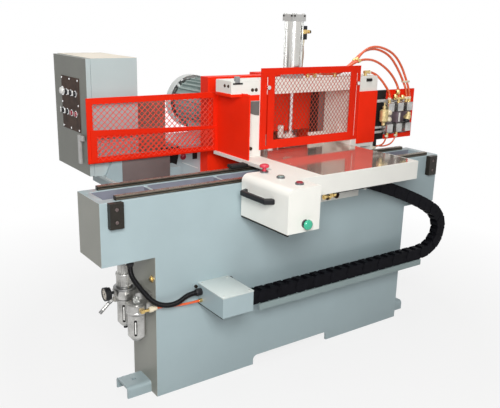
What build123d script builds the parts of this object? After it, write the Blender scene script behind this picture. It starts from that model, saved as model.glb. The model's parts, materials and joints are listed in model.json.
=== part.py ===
"""Finger joint machine: a sliding carriage on a floor bed, with a saw and a finger cutter behind it.

X runs along the bed, Y to the back and Z up. The origin is on the floor, midway between the two
bolt holes of the bed's feet. The carriage stands where the operator leaves it to load wood.
"""
import os
from math import cos, radians, sin, tan

from build123d import *

os.makedirs("parts", exist_ok=True)

# Clearances between pieces
seat_gap = 0.3
running_gap = 0.05
bore_gap = 0.1
fixing_gap = 3.0

# Bed
bed_length = 1810.0
bed_depth = 206.0
beam_height = 242.0
beam_wall = 20.0
beam_floor = 42.0
ledge_width = 44.0
ledge_height = 40.0
beam_end_wall = 14.0
beam_rib = 14.0
beam_rib_count = 5
beam_rib_pitch = 322.0
beam_rib_drop = 5.0
pedestal_length = 1380.0
pedestal_height = 598.0
pedestal_wall = 12.0
notch_length = 430.0
notch_height = 42.0
notch_corner = 20.0
foot_length = 105.0
foot_depth = 110.0
foot_plate = 9.0
foot_height = 48.0
foot_bend = 16.0
foot_pad_radius = 16.0
floor_hole_radius = 9.0

# Guide rails and their runner blocks
rail_width = 20.0
rail_height = 16.0
rail_groove = 3.0
rail_end_margin = 69.0
runner_width = 44.0
runner_length = 80.0
runner_lift = 4.0
runner_height = 26.0
runner_margin = 46.0

# End stops on the bed's front face
stop_length = 53.0
stop_height = 96.0
stop_thickness = 25.0
stop_end_margin = 30.0
stop_screw_radius = 8.0
stop_screw_depth = 6.0

# Carriage
table_left = -37.0
table_width = 562.0
table_thickness = 10.0
saddle_thickness = 6.0
front_overhang = 190.0
back_overhang = 239.0
border_width = 114.0
skirt_thickness = 5.0
skirt_height = 82.0
skirt_side_gap = 12.0

# Portal over the table
portal_setback = 33.0
post_width = 80.0
post_depth = 81.0
post_reach = 74.0
fence_post_width = 160.0
portal_wall = 8.0
crossbeam_lift = 273.0
crossbeam_height = 63.0
crossbeam_depth = 122.0
crossbeam_overhang = 84.0

# Guards
guard_thickness = 6.0
mesh_thickness = 2.0
guard_lift = 28.0
guard_left_margin = 4.0
guard_height = 360.0
guard_width = 600.0
guard_left_bar = 75.0
guard_right_bar = 62.0
guard_top_bar = 30.0
guard_bottom_bar = 40.0
guard_slot_width = 8.0
guard_slot_inset = 36.0
guard_slot_right_inset = 20.0
guard_slot_margin = 15.0
guard_bolt_head = 9.0
guard_bolt_head_height = 12.0
side_guard_length = 628.0
side_guard_height = 270.0
side_guard_bar = 25.0
side_guard_band = 13.0
side_guard_band_height = 104.0
side_guard_return = 265.0
side_guard_inset = 8.0
screen_thickness = 5.0
screen_inset = 13.0
screen_height = 140.0
screen_fall = 23.0
screen_bar = 26.0
screen_bottom_bar = 6.0
screen_lift = 4.0
mesh_pitch_x = 30.0
mesh_pitch_z = 34.0
mesh_strand = 4.0

# Control box on the carriage
control_width = 155.0
control_depth = 302.0
control_height = 172.0
control_wall = 3.0
control_corner = 30.0
control_setback = 12.0
button_row_inset = 64.0
button_row = (-27.0, -135.0, -250.0)
button_collar_height = 7.0
button_collar_wall = 3.5
button_cap_radius = 13.0
button_cap_rise = 4.0
button_stem_radius = 6.0
button_stem_length = 22.0
estop_radius = 20.0
estop_stem_radius = 8.0
estop_stem_height = 22.0
estop_head_height = 14.0
cycle_drop = 139.0
cycle_radius = 20.0
cycle_stem_height = 10.0
cycle_head_height = 12.0
handle_length = 196.0
handle_reach = 38.0
handle_bar = 15.0
handle_width = 22.0
handle_slant = 18.0
handle_drop = 64.0
handle_inset = 25.0

# Vertical clamp
clamp_from_post = 214.0
cylinder_cap = 75.0
cylinder_cap_height = 30.0
cylinder_tube_length = 222.0
cylinder_tube_radius = 34.0
cylinder_bore = 31.5
tie_rod_radius = 4.0
tie_rod_spacing = 56.5
piston_height = 20.0
piston_lift = 46.0
clamp_rod_radius = 10.0
clamp_pad_radius = 28.0
clamp_pad_height = 18.0
clamp_neck_radius = 16.0
clamp_neck_height = 15.0
clamp_opening = 46.0
clamp_guide_offset = 55.0
clamp_guide_radius = 14.0
clamp_guide_height = 56.0

# Side pusher in the right post
pusher_height = 68.0
pusher_back = 104.0
pusher_pad_radius = 25.0
pusher_pad_thickness = 14.0
pusher_rod_radius = 8.0
pusher_cylinder_size = 62.0
pusher_cylinder_length = 105.0
pusher_bore = 25.0
pusher_piston = 14.0
pusher_end_wall = 6.0

# Pneumatic panel at the right of the carriage
panel_thickness = 6.0
right_panel_gap = 2.0
right_panel_lift = 13.0
right_panel_height = 262.0
valve_panel_width = 280.0
valve_panel_drop = 9.0
valve_frame_width = 205.0
valve_frame_top = 54.0
valve_frame_side = 35.0
valve_frame_bottom = 24.0
valve_width = 44.0
valve_depth = 46.0
valve_height = 150.0
valve_count = 3
valve_pitch = 68.0
valve_inset = 75.0
valve_lift = 48.0
fitting_radius = 8.0
fitting_length = 18.0
hose_radius = 6.0
small_hose_radius = 4.0

# Energy chain in front of the bed
chain_pitch = 50.0
chain_width = 50.0
chain_height = 57.0
chain_wall = 5.0
chain_gap = 0.6
chain_lower_links = 22
chain_from_bed = 45.0
chain_anchor_thickness = 8.0
tray_height = 340.0
tray_thickness = 4.0
tray_lip = 28.0
tray_overrun = 45.0
tray_start = 96.0

# Degrees that each link turns from the link before it, round the bend and along the upper run
chain_bend_turns = (8.0, 19.0, 24.0, 28.0, 28.0, 24.0, 15.5)
chain_upper_turns = (5.5, 2.5, 1.5, 1.0, 1.0, 1.0, 1.0, 0.5, 0.5, 0.0)

# Junction box on the pedestal
junction_inset = 189.0
junction_width = 142.0
junction_depth = 186.0
junction_height = 86.0
junction_bottom = 370.0
junction_wall = 3.0
junction_ear = 26.0
junction_bolt_radius = 7.0
junction_bolt_height = 8.0
cord_from_bed = 24.0
gland_radius = 15.0
gland_length = 26.0
gland_standoff = 90.0
conduit_radius = 10.5
conduit_wall = 2.0
conduit_rib = 1.6
conduit_ribs = 64
air_tube_radius = 5.0

# Air filter, regulator and lubricator under the left overhang
filter_standoff = 65.0
filter_y = 37.0
filter_height = 427.0
lubricator_standoff = 62.0
lubricator_y = -62.0
lubricator_height = 395.0
filter_body_radius = 42.0
filter_body_height = 36.0
bonnet_radius = 30.0
bonnet_height = 62.0
knob_radius = 26.0
knob_height = 34.0
filter_bowl_radius = 31.0
filter_bowl_length = 128.0
lubricator_body_radius = 38.0
lubricator_body_height = 30.0
sight_radius = 13.0
sight_height = 26.0
lubricator_bowl_radius = 36.0
lubricator_bowl_length = 122.0
boss_width = 20.0
boss_rise = 6.0
air_bracket_depth = 30.0
gauge_radius = 25.0
gauge_depth = 24.0
gauge_stem = 15.0
gauge_stem_radius = 6.0
tail_radius = 7.0
tail_neck = 20.0
tail_length = 36.0
outlet_radius = 6.5
outlet_length = 34.0
elbow_size = 14.0

# Rear stand
stand_left = -305.0
stand_length = 800.0
stand_depth = 674.0
stand_wall = 8.0
deck_thickness = 15.0
deck_overhang = 40.0
deck_height = 735.0
stand_flange_depth = 56.0
stand_flange_thickness = 15.0
stand_hole_inset = 60.0
motor_base_left = -259.0
motor_base_flare = 34.0
motor_base_gap = 10.0
motor_base_wall = 12.0
arm_length = 314.0
arm_depth = 280.0
arm_height = 150.0
arm_rise = 81.0
arm_slant = 18.0
arm_nose = 44.0
bracket_thickness = 18.0
bracket_length = 306.0
bracket_reach = 58.0
bracket_rise = 84.0
bracket_drop = 126.0
bracket_slant = 40.0
bracket_heel = 77.0
column_depth = 97.0
column_height = 290.0
column_overlap = 20.0

# Cutter hood
hood_gap = 59.0
hood_left = -146.0
hood_length = 641.0
hood_depth = 196.0
saw_cover_depth = 68.0
cutter_cover_length = 270.0
hood_height = 477.0
hood_wall = 4.0
work_slot_drop = 20.0
work_slot_rise = 48.0
work_slot_margin = 8.0
dust_radius = 60.0
dust_length = 62.0
dust_lift = 265.0

# Trim saw on its own motor
saw_x = 46.0
saw_height = 1040.0
saw_radius = 165.0
saw_thickness = 4.0
saw_teeth = 36
saw_tooth_depth = 7.0
saw_from_hood = 26.0
saw_collar_radius = 40.0
saw_collar = 8.0
saw_shaft_radius = 20.0
saw_nut_length = 14.0
saw_nose_radius = 55.0
saw_nose_gap = 2.0
motor_flange_radius = 112.0
nose_hole_gap = 4.0
motor_flange = 16.0
motor_radius = 116.0
motor_length = 375.0
motor_shaft_height = 150.0
motor_fin_height = 13.0
motor_fin_width = 5.0
motor_fins = 28
motor_foot_width = 200.0
terminal_box_length = 140.0
terminal_box_reach = 62.0
terminal_box_height = 80.0
cowl_radius = 141.0
cowl_length = 60.0
cowl_round = 16.0
cowl_wall = 3.0
cowl_vent_radius = 8.0
fan_radius = 118.0
fan_thickness = 20.0
fan_gap = 18.0

# Finger cutter on a vertical spindle
cutter_from_saw = 339.0
cutter_radius = 80.0
cutter_front_gap = 12.0
cutter_pitch = 10.0
cutter_fingers = 6
cutter_finger_depth = 14.0
cutter_gullets = 4
cutter_drop = 8.0
cutter_motor_radius = 78.0
cutter_motor_length = 300.0
cutter_flange_radius = 90.0
cutter_flange = 15.0
cutter_housing_radius = 50.0
cutter_shaft_radius = 20.0
cutter_shaft_depth = 160.0
cutter_collar_radius = 36.0
cutter_collar = 6.0
cutter_nut_height = 22.0

# Electrical cabinet
cabinet_gap = 35.0
cabinet_left = -741.0
cabinet_width = 226.0
cabinet_depth = 378.0
cabinet_height = 491.0
cabinet_wall = 3.0
cabinet_strap_inset = 24.0
cabinet_strap_width = 14.0
cabinet_strap = 10.0
door_thickness = 20.0
door_skin = 3.0
door_margin = 2.0
hinge_radius = 6.0
hinge_length = 40.0
hinge_inset = 70.0
hinge_offset = 9.0
plate_thickness = 3.0
plate_depth = 202.0
plate_height = 228.0
plate_front_inset = 82.0
plate_top_inset = 88.0
lamp_pitch = 50.0
lamp_count = 4
lamp_margin = 30.0
lamp_row = 66.0
button_row_gap = 85.0
lamp_radius = 11.0
lamp_rise = 16.0
big_lamp_radius = 17.0
bezel_wall = 3.0
bezel_rise = 6.0
panel_cap_radius = 11.0
panel_cap_height = 8.0
panel_stem_radius = 6.0
panel_stem_length = 14.0
panel_travel = 4.0
latch_length = 125.0
latch_width = 22.0
latch_thickness = 10.0
latch_rise = 6.0
latch_pivot_radius = 8.0
latch_front_inset = 54.0
latch_height = 170.0
gear_plate = 3.0
gear_margin = 24.0

# Worked out from the sizes above
bed_front = -bed_depth / 2
bed_back = bed_depth / 2
bed_right = bed_length / 2
bed_top = pedestal_height + beam_height
pedestal_right = pedestal_length / 2
junction_left = -pedestal_right + junction_inset
filter_x = -pedestal_right - filter_standoff
lubricator_x = -pedestal_right - lubricator_standoff
rail_y = bed_depth / 2 - ledge_width / 2
rail_top = bed_top + rail_height
runner_top = bed_top + runner_height
saddle_top = runner_top + saddle_thickness
table_top = saddle_top + table_thickness
table_right = table_left + table_width
table_front = bed_front - front_overhang
carriage_back = bed_back + back_overhang
carriage_left = table_left - border_width
carriage_right = table_right + fence_post_width
portal_front = bed_back + portal_setback
crossbeam_bottom = table_top + crossbeam_lift
crossbeam_top = crossbeam_bottom + crossbeam_height
post_left = table_left - post_reach
crossbeam_left = post_left - crossbeam_overhang
guard_front = portal_front - guard_thickness
mesh_front = portal_front - guard_thickness / 2 - mesh_thickness / 2
mesh_back = mesh_front + mesh_thickness


def block(x, y, z, mode=Mode.ADD):
    """A box in the part being built, between two limits on each axis."""
    limits = (x, y, z)
    with Locations(tuple((low + high) / 2 for low, high in limits)):
        Box(*(high - low for low, high in limits), mode=mode)


def bar(start, direction, radius, length, mode=Mode.ADD):
    """A round bar in the part being built, from a point along a direction."""
    with Locations(Plane(origin=start, z_dir=direction)):
        Cylinder(radius, length, align=(Align.CENTER, Align.CENTER, Align.MIN), mode=mode)


def save(builder, name):
    """Label a finished piece and write it."""
    builder.part.label = name
    export_step(builder.part, f"parts/{name}.step")


right = (1, 0, 0)
left = (-1, 0, 0)
back = (0, 1, 0)
front = (0, -1, 0)
up = (0, 0, 1)
down = (0, 0, -1)

# Pedestal: a hollow plate box, notched at the floor, with a bolting foot at each end
foot_x = pedestal_right + foot_length / 2
with BuildPart() as pedestal:
    block((-pedestal_right, pedestal_right), (bed_front, bed_back), (0, pedestal_height))
    block(
        (-pedestal_right + pedestal_wall, pedestal_right - pedestal_wall),
        (bed_front + pedestal_wall, bed_back - pedestal_wall),
        (0, pedestal_height - pedestal_wall),
        mode=Mode.SUBTRACT,
    )
    with BuildSketch(Plane.XZ):
        with Locations((0, 0)):
            RectangleRounded(notch_length, 2 * notch_height, notch_corner)
    extrude(amount=bed_depth, both=True, mode=Mode.SUBTRACT)
    for side in (-1, 1):
        inner = side * pedestal_right
        outer = side * (pedestal_right + foot_length)
        with BuildSketch(Plane.YZ.offset(min(inner, outer))) as foot_section:
            with Locations((0, foot_height / 2)):
                Rectangle(foot_depth, foot_height)
            fillet(foot_section.vertices().group_by(Axis.Y)[-1], foot_bend)
            with Locations((0, (foot_height - foot_plate) / 2)):
                Rectangle(foot_depth - 2 * foot_plate, foot_height - foot_plate, mode=Mode.SUBTRACT)
        extrude(amount=foot_length)
        bar((side * foot_x, 0, 0), up, foot_pad_radius, foot_height - foot_plate)
        bar((side * foot_x, 0, 0), up, floor_hole_radius, foot_height, mode=Mode.SUBTRACT)
save(pedestal, "pedestal")

# Bed beam: an open trough with cross ribs and a flat ledge for each rail
with BuildPart() as bed_beam:
    block((-bed_right, bed_right), (bed_front, bed_back), (pedestal_height, bed_top))
    trough_end = bed_right - beam_end_wall
    block(
        (-trough_end, trough_end),
        (bed_front + ledge_width, bed_back - ledge_width),
        (bed_top - ledge_height, bed_top),
        mode=Mode.SUBTRACT,
    )
    block(
        (-trough_end, trough_end),
        (bed_front + beam_wall, bed_back - beam_wall),
        (pedestal_height + beam_floor, bed_top - ledge_height),
        mode=Mode.SUBTRACT,
    )
    for number in range(beam_rib_count):
        rib_x = (number - (beam_rib_count - 1) / 2) * beam_rib_pitch
        block(
            (rib_x - beam_rib / 2, rib_x + beam_rib / 2),
            (bed_front + beam_wall, bed_back - beam_wall),
            (pedestal_height + beam_floor, bed_top - ledge_height),
        )
        block(
            (rib_x - beam_rib / 2, rib_x + beam_rib / 2),
            (bed_front + ledge_width, bed_back - ledge_width),
            (bed_top - ledge_height, bed_top - beam_rib_drop),
        )
save(bed_beam, "bed_beam")

# Guide rails: ground bars with a groove down each flank
with BuildPart() as guide_rails:
    for rail_side in (-rail_y, rail_y):
        with BuildSketch(Plane.YZ.offset(-bed_right + rail_end_margin)):
            with Locations((rail_side, bed_top + rail_height / 2)):
                Rectangle(rail_width, rail_height)
            with Locations(
                (rail_side - rail_width / 2, bed_top + rail_height / 2),
                (rail_side + rail_width / 2, bed_top + rail_height / 2),
            ):
                Circle(rail_groove, mode=Mode.SUBTRACT)
        extrude(amount=bed_length - 2 * rail_end_margin)
save(guide_rails, "guide_rails")

# End stops: one block at each end of the bed's front face, each sunk for two screws
with BuildPart() as end_stops:
    for side in (-1, 1):
        near = side * (bed_right - stop_end_margin - stop_length)
        far = side * (bed_right - stop_end_margin)
        block(
            (min(near, far), max(near, far)),
            (bed_front - stop_thickness, bed_front),
            (bed_top - stop_height, bed_top),
        )
        for height in (0.25, 0.75):
            bar(
                ((near + far) / 2, bed_front - stop_thickness, bed_top - height * stop_height),
                back,
                stop_screw_radius,
                stop_screw_depth,
                mode=Mode.SUBTRACT,
            )
save(end_stops, "end_stops")

# Chain tray: an angle along the pedestal, with its lip turned down
chain_back = bed_front - chain_from_bed
chain_front = chain_back - chain_width
junction_right = junction_left + junction_width
tray_left = junction_right + tray_start
tray_front = chain_front - tray_thickness - seat_gap
with BuildPart() as chain_tray:
    block(
        (tray_left, pedestal_right + tray_overrun),
        (tray_front, bed_front),
        (tray_height - tray_thickness, tray_height),
    )
    block(
        (tray_left, pedestal_right + tray_overrun),
        (tray_front, tray_front + tray_thickness),
        (tray_height - tray_lip, tray_height - tray_thickness),
    )
    block(
        (tray_left, pedestal_right),
        (bed_front - tray_thickness, bed_front),
        (tray_height - tray_lip, tray_height - tray_thickness),
    )
save(chain_tray, "chain_tray")

# Energy chain: each link is a hollow frame between two stations of the chain's line
chain_z = tray_height + seat_gap + chain_height / 2
chain_start = junction_right + 2 * seat_gap
chain_turns = chain_lower_links * (0.0,) + chain_bend_turns + chain_upper_turns
chain_headings = [sum(chain_turns[:number + 1]) for number in range(len(chain_turns))]
bend_end = chain_lower_links + len(chain_bend_turns)
chain_end = len(chain_turns)


def station(number):
    """The chain line's point and its outward normal after so many links."""
    point = Vector(chain_start, 0, chain_z)
    for heading in chain_headings[:number]:
        point += Vector(cos(radians(heading)), 0, sin(radians(heading))) * chain_pitch
    meeting = chain_headings[max(number - 1, 0):number + 1]
    mean = radians(sum(meeting) / len(meeting))
    return point, Vector(sin(mean), 0, -cos(mean))


def link_outline(number, inset):
    """The four corners of one link in the XZ plane, drawn in by an inset above and below."""
    reach = chain_height / 2 - inset
    start, start_normal = station(number)
    end, end_normal = station(number + 1)
    lift = (end - start).normalized() * (chain_gap / 2)
    start = start + lift
    end = end - lift
    corners = (
        start + start_normal * reach,
        end + end_normal * reach,
        end - end_normal * reach,
        start - start_normal * reach,
    )
    return [(corner.X, corner.Z) for corner in corners]


chain_runs = {
    "chain_lower_links": range(chain_lower_links),
    "chain_bend_links": range(chain_lower_links, bend_end),
    "chain_upper_links": range(bend_end, chain_end),
}
for run_name, numbers in chain_runs.items():
    with BuildPart() as chain_run:
        for number in numbers:
            with BuildSketch(Plane.XZ.offset(-chain_back)):
                Polygon(*link_outline(number, 0), align=None)
            extrude(amount=chain_width)
            with BuildSketch(Plane.XZ.offset(-chain_back + chain_wall)):
                Polygon(*link_outline(number, chain_wall), align=None)
            extrude(amount=chain_width - 2 * chain_wall, mode=Mode.SUBTRACT)
    save(chain_run, run_name)

# Junction box: a sheet box open below, with a bolted ear on each side
junction_front = bed_front - junction_depth
junction_top = junction_bottom + junction_height
junction_middle = (junction_bottom + junction_top) / 2
with BuildPart() as junction_box:
    block(
        (junction_left, junction_right),
        (junction_front, bed_front),
        (junction_bottom, junction_top),
    )
    block(
        (junction_left + junction_wall, junction_right - junction_wall),
        (junction_front + junction_wall, bed_front - junction_wall),
        (junction_bottom, junction_top - junction_wall),
        mode=Mode.SUBTRACT,
    )
    for near, far in (
        (junction_left - junction_ear, junction_left),
        (junction_right, junction_right + junction_ear),
    ):
        ear_bottom = junction_middle + gland_radius + fixing_gap
        block((near, far), (bed_front - junction_wall, bed_front), (ear_bottom, junction_top))
        bar(
            ((near + far) / 2, bed_front - junction_wall, (ear_bottom + junction_top) / 2),
            front,
            junction_bolt_radius,
            junction_bolt_height,
        )
save(junction_box, "junction_box")

# Glands of the conduit: one under the bed's left overhang, one on the junction box
gland_x = -pedestal_right - gland_standoff
gland_y = bed_front + 30.0
conduit_y = bed_front - cord_from_bed
conduit_z = junction_middle + 12.0
with BuildPart() as conduit_glands:
    bar((gland_x, gland_y, pedestal_height), down, gland_radius, gland_length)
    bar((junction_left, conduit_y, conduit_z), left, gland_radius, gland_length)
save(conduit_glands, "conduit_glands")


def corner_radii(points):
    """A bend radius for each inner corner of a route, from its shorter run and its turn."""
    radii = []
    for before, here, after in zip(points, points[1:], points[2:]):
        arrive = Vector(*here) - Vector(*before)
        leave = Vector(*after) - Vector(*here)
        turn = radians(arrive.get_angle(leave))
        radii.append(0.45 * min(arrive.length, leave.length) / tan(turn / 2))
    return radii


# Conduit: a ribbed hose from the bed to the junction box
conduit_points = [
    (gland_x, gland_y, pedestal_height - gland_length),
    (gland_x, gland_y, pedestal_height - gland_length - 34.0),
    (gland_x + 12.0, gland_y - 19.0, conduit_z + 63.0),
    (gland_x + 42.0, gland_y - 47.0, conduit_z + 23.0),
    (gland_x + 86.0, conduit_y - 6.0, conduit_z - 5.0),
    (gland_x + 140.0, conduit_y - 8.0, conduit_z - 12.0),
    (junction_left - gland_length - 73.0, conduit_y - 5.0, conduit_z - 10.0),
    (junction_left - gland_length - 35.0, conduit_y, conduit_z),
    (junction_left - gland_length, conduit_y, conduit_z),
]
with BuildLine() as conduit_line:
    FilletPolyline(*conduit_points, radius=corner_radii(conduit_points))
conduit_path = conduit_line.wires()[0]
plain_end = 2 * conduit_radius
rib_span = (conduit_path.length - 2 * plain_end) / conduit_ribs
conduit_valley = conduit_radius - conduit_rib
conduit_rings = [(0.0, conduit_valley)]
for number in range(conduit_ribs):
    rib_start = plain_end + number * rib_span
    conduit_rings.append((rib_start, conduit_valley))
    conduit_rings.append((rib_start + 0.25 * rib_span, conduit_radius))
    conduit_rings.append((rib_start + 0.60 * rib_span, conduit_radius))
    conduit_rings.append((rib_start + 0.85 * rib_span, conduit_valley))
conduit_rings.append((conduit_path.length, conduit_valley))
with BuildPart() as conduit:
    for distance, radius in conduit_rings:
        share = distance / conduit_path.length
        with BuildSketch(Plane(origin=conduit_path @ share, x_dir=back, z_dir=conduit_path % share)):
            Circle(radius)
    loft(ruled=True)
    for distance, radius in conduit_rings[::4]:
        share = distance / conduit_path.length
        with BuildSketch(Plane(origin=conduit_path @ share, x_dir=back, z_dir=conduit_path % share)):
            Circle(conduit_valley - conduit_wall)
    with BuildSketch(Plane(origin=conduit_path @ 1, x_dir=back, z_dir=conduit_path % 1)):
        Circle(conduit_valley - conduit_wall)
    loft(ruled=True, mode=Mode.SUBTRACT)
save(conduit, "conduit")

# Filter and regulator: a body with a bonnet, a side boss and a bracket to the pedestal
filter_top = filter_height + filter_body_height / 2
filter_bottom = filter_height - filter_body_height / 2
filter_boss_x = filter_x - filter_body_radius - boss_rise
gauge_z = filter_height + 3.0
inlet_z = filter_height - 25.0
with BuildPart() as filter_regulator:
    bar((filter_x, filter_y, filter_bottom), up, filter_body_radius, filter_body_height)
    bar((filter_x, filter_y, filter_top), up, bonnet_radius, bonnet_height)
    block(
        (filter_boss_x, filter_x),
        (filter_y - boss_width / 2, filter_y + boss_width / 2),
        (inlet_z - boss_width / 2, filter_top - 2.0),
    )
    bar((filter_x, filter_y, 0), up, filter_bowl_radius, filter_bottom, mode=Mode.SUBTRACT)
    block(
        (filter_x, -pedestal_right),
        (filter_y - air_bracket_depth / 2, filter_y + air_bracket_depth / 2),
        (filter_bottom, filter_top),
    )
    block(
        (-pedestal_right - 12.0, -pedestal_right),
        (lubricator_y - air_bracket_depth / 2, filter_y + air_bracket_depth / 2),
        (lubricator_height - lubricator_body_height / 2, filter_top),
    )
save(filter_regulator, "filter_regulator")

# Regulator knob: a ribbed cap that turns on the bonnet
knob_bottom = filter_top + bonnet_height + seat_gap
with BuildPart() as regulator_knob:
    bar((filter_x, filter_y, knob_bottom), up, knob_radius, knob_height)
    with Locations((filter_x, filter_y, knob_bottom + knob_height / 2)):
        with PolarLocations(knob_radius, 16):
            Cylinder(2.5, knob_height, mode=Mode.SUBTRACT)
    fillet(regulator_knob.faces().sort_by(Axis.Z)[-1].edges(), 1.5)
save(regulator_knob, "regulator_knob")

# Lubricator: a body with a sight dome, a front boss and a foot on the bracket
lubricator_top = lubricator_height + lubricator_body_height / 2
lubricator_bottom = lubricator_height - lubricator_body_height / 2
lubricator_boss_y = lubricator_y - lubricator_body_radius - boss_rise
with BuildPart() as lubricator:
    bar((lubricator_x, lubricator_y, lubricator_bottom), up, lubricator_body_radius,
        lubricator_body_height)
    bar((lubricator_x, lubricator_y, lubricator_top), up, sight_radius, sight_height)
    fillet(lubricator.faces().sort_by(Axis.Z)[-1].edges(), sight_radius / 2)
    block(
        (lubricator_x - boss_width / 2, lubricator_x + boss_width / 2),
        (lubricator_boss_y, lubricator_y),
        (lubricator_bottom, lubricator_top - 2.0),
    )
    block(
        (lubricator_x, -pedestal_right - 12.0),
        (lubricator_y - air_bracket_depth / 2, lubricator_y + air_bracket_depth / 2),
        (lubricator_bottom, lubricator_top),
    )
save(lubricator, "lubricator")

# Bowls of the air units: clear cups with domed ends
with BuildPart() as frl_bowls:
    for centre_x, centre_y, rim, radius, length in (
        (filter_x, filter_y, filter_bottom, filter_bowl_radius, filter_bowl_length),
        (lubricator_x, lubricator_y, lubricator_bottom, lubricator_bowl_radius, lubricator_bowl_length),
    ):
        with BuildSketch(Plane(origin=(centre_x, centre_y, rim), x_dir=right, z_dir=front)):
            with BuildLine():
                Polyline(
                    (0, -length),
                    (0.55 * radius, -length),
                    (radius, -length + 0.6 * radius),
                    (radius, 0),
                    (radius - 3.0, 0),
                    (radius - 3.0, -length + 0.6 * radius + 1.5),
                    (0.5 * radius, -length + 4.0),
                    (0, -length + 4.0),
                    close=True,
                )
            make_face()
        revolve(axis=Axis((centre_x, centre_y, 0), up))
save(frl_bowls, "frl_bowls")

# Pressure gauge: a round case that looks to the left, with its dial let in
gauge_back = filter_boss_x - gauge_stem
with BuildPart() as pressure_gauge:
    bar((filter_boss_x, filter_y, gauge_z), left, gauge_stem_radius, gauge_stem)
    bar((gauge_back, filter_y, gauge_z), left, gauge_radius, gauge_depth)
    bar((gauge_back - gauge_depth, filter_y, gauge_z), right, gauge_radius - 3.0, 3.0,
        mode=Mode.SUBTRACT)
save(pressure_gauge, "pressure_gauge")

# Air fittings: the inlet elbow with its hose tail, the outlet elbow and the tube's end fitting
tail_direction = Vector(-1, 0, -0.9).normalized()
tail_start = Vector(filter_boss_x - elbow_size / 2, filter_y, inlet_z)
outlet_y = lubricator_boss_y - elbow_size / 2
outlet_x = lubricator_x + elbow_size / 2 + outlet_length
tube_end_y = conduit_y - 6.0
tube_end_z = junction_bottom + 20.0
with BuildPart() as air_fittings:
    block(
        (filter_boss_x - elbow_size, filter_boss_x),
        (filter_y - elbow_size / 2, filter_y + elbow_size / 2),
        (inlet_z - elbow_size / 2, inlet_z + elbow_size / 2),
    )
    bar(tail_start, tail_direction, tail_radius - 1.5, tail_neck)
    bar(tail_start + tail_direction * tail_neck, tail_direction, tail_radius, tail_length)
    block(
        (lubricator_x - elbow_size / 2, lubricator_x + elbow_size / 2),
        (lubricator_boss_y - elbow_size, lubricator_boss_y),
        (lubricator_height - elbow_size / 2, lubricator_height + elbow_size / 2),
    )
    bar((lubricator_x, outlet_y, lubricator_height), right, outlet_radius,
        elbow_size / 2 + outlet_length)
    bar((junction_left, tube_end_y, tube_end_z), left, outlet_radius + 1.5, elbow_size)
save(air_fittings, "air_fittings")

# Air tube from the lubricator to the junction box
air_tube_points = [
    (outlet_x, outlet_y, lubricator_height),
    (outlet_x + 45.0, outlet_y, lubricator_height),
    (outlet_x + 100.0, outlet_y - 4.0, tube_end_z - 4.0),
    (junction_left - elbow_size - 36.0, tube_end_y, tube_end_z),
    (junction_left - elbow_size, tube_end_y, tube_end_z),
]
with BuildLine() as air_tube_line:
    FilletPolyline(*air_tube_points, radius=corner_radii(air_tube_points))
air_tube_path = air_tube_line.wires()[0]
with BuildPart() as air_tube:
    with BuildSketch(Plane(origin=air_tube_path @ 0, z_dir=air_tube_path % 0)):
        Circle(air_tube_radius)
    sweep(path=air_tube_path)
save(air_tube, "air_tube")

# Rear stand: a welded box behind the pedestal, with a deck, a motor base, and the cabinet's arm, bracket
# and column
stand_right = stand_left + stand_length
stand_front = bed_back
stand_back = stand_front + stand_depth
deck_bottom = deck_height - deck_thickness
hood_front = carriage_back + hood_gap
hood_back = hood_front + hood_depth
hood_right = hood_left + hood_length
saw_cover_back = hood_front + saw_cover_depth
cutter_cover_left = hood_right - cutter_cover_length
deck_front = hood_front - 24.0
deck_back = stand_back + 20.0
arm_top = deck_height + arm_rise
arm_left = stand_left - arm_length
cabinet_front = carriage_back + cabinet_gap
cabinet_right = cabinet_left + cabinet_width
arm_back = cabinet_front + arm_depth
bracket_left = arm_left - bracket_reach
bracket_right = bracket_left + bracket_length
column_right = stand_left + column_overlap
column_front = arm_back - column_depth
column_top = arm_top + column_height
motor_base_top = saw_height - motor_shaft_height
motor_base_right = cutter_cover_left - motor_base_gap
motor_base_front = saw_cover_back + seat_gap
cutter_x = saw_x + cutter_from_saw
cutter_y = hood_front + hood_wall + cutter_front_gap + cutter_radius
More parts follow.
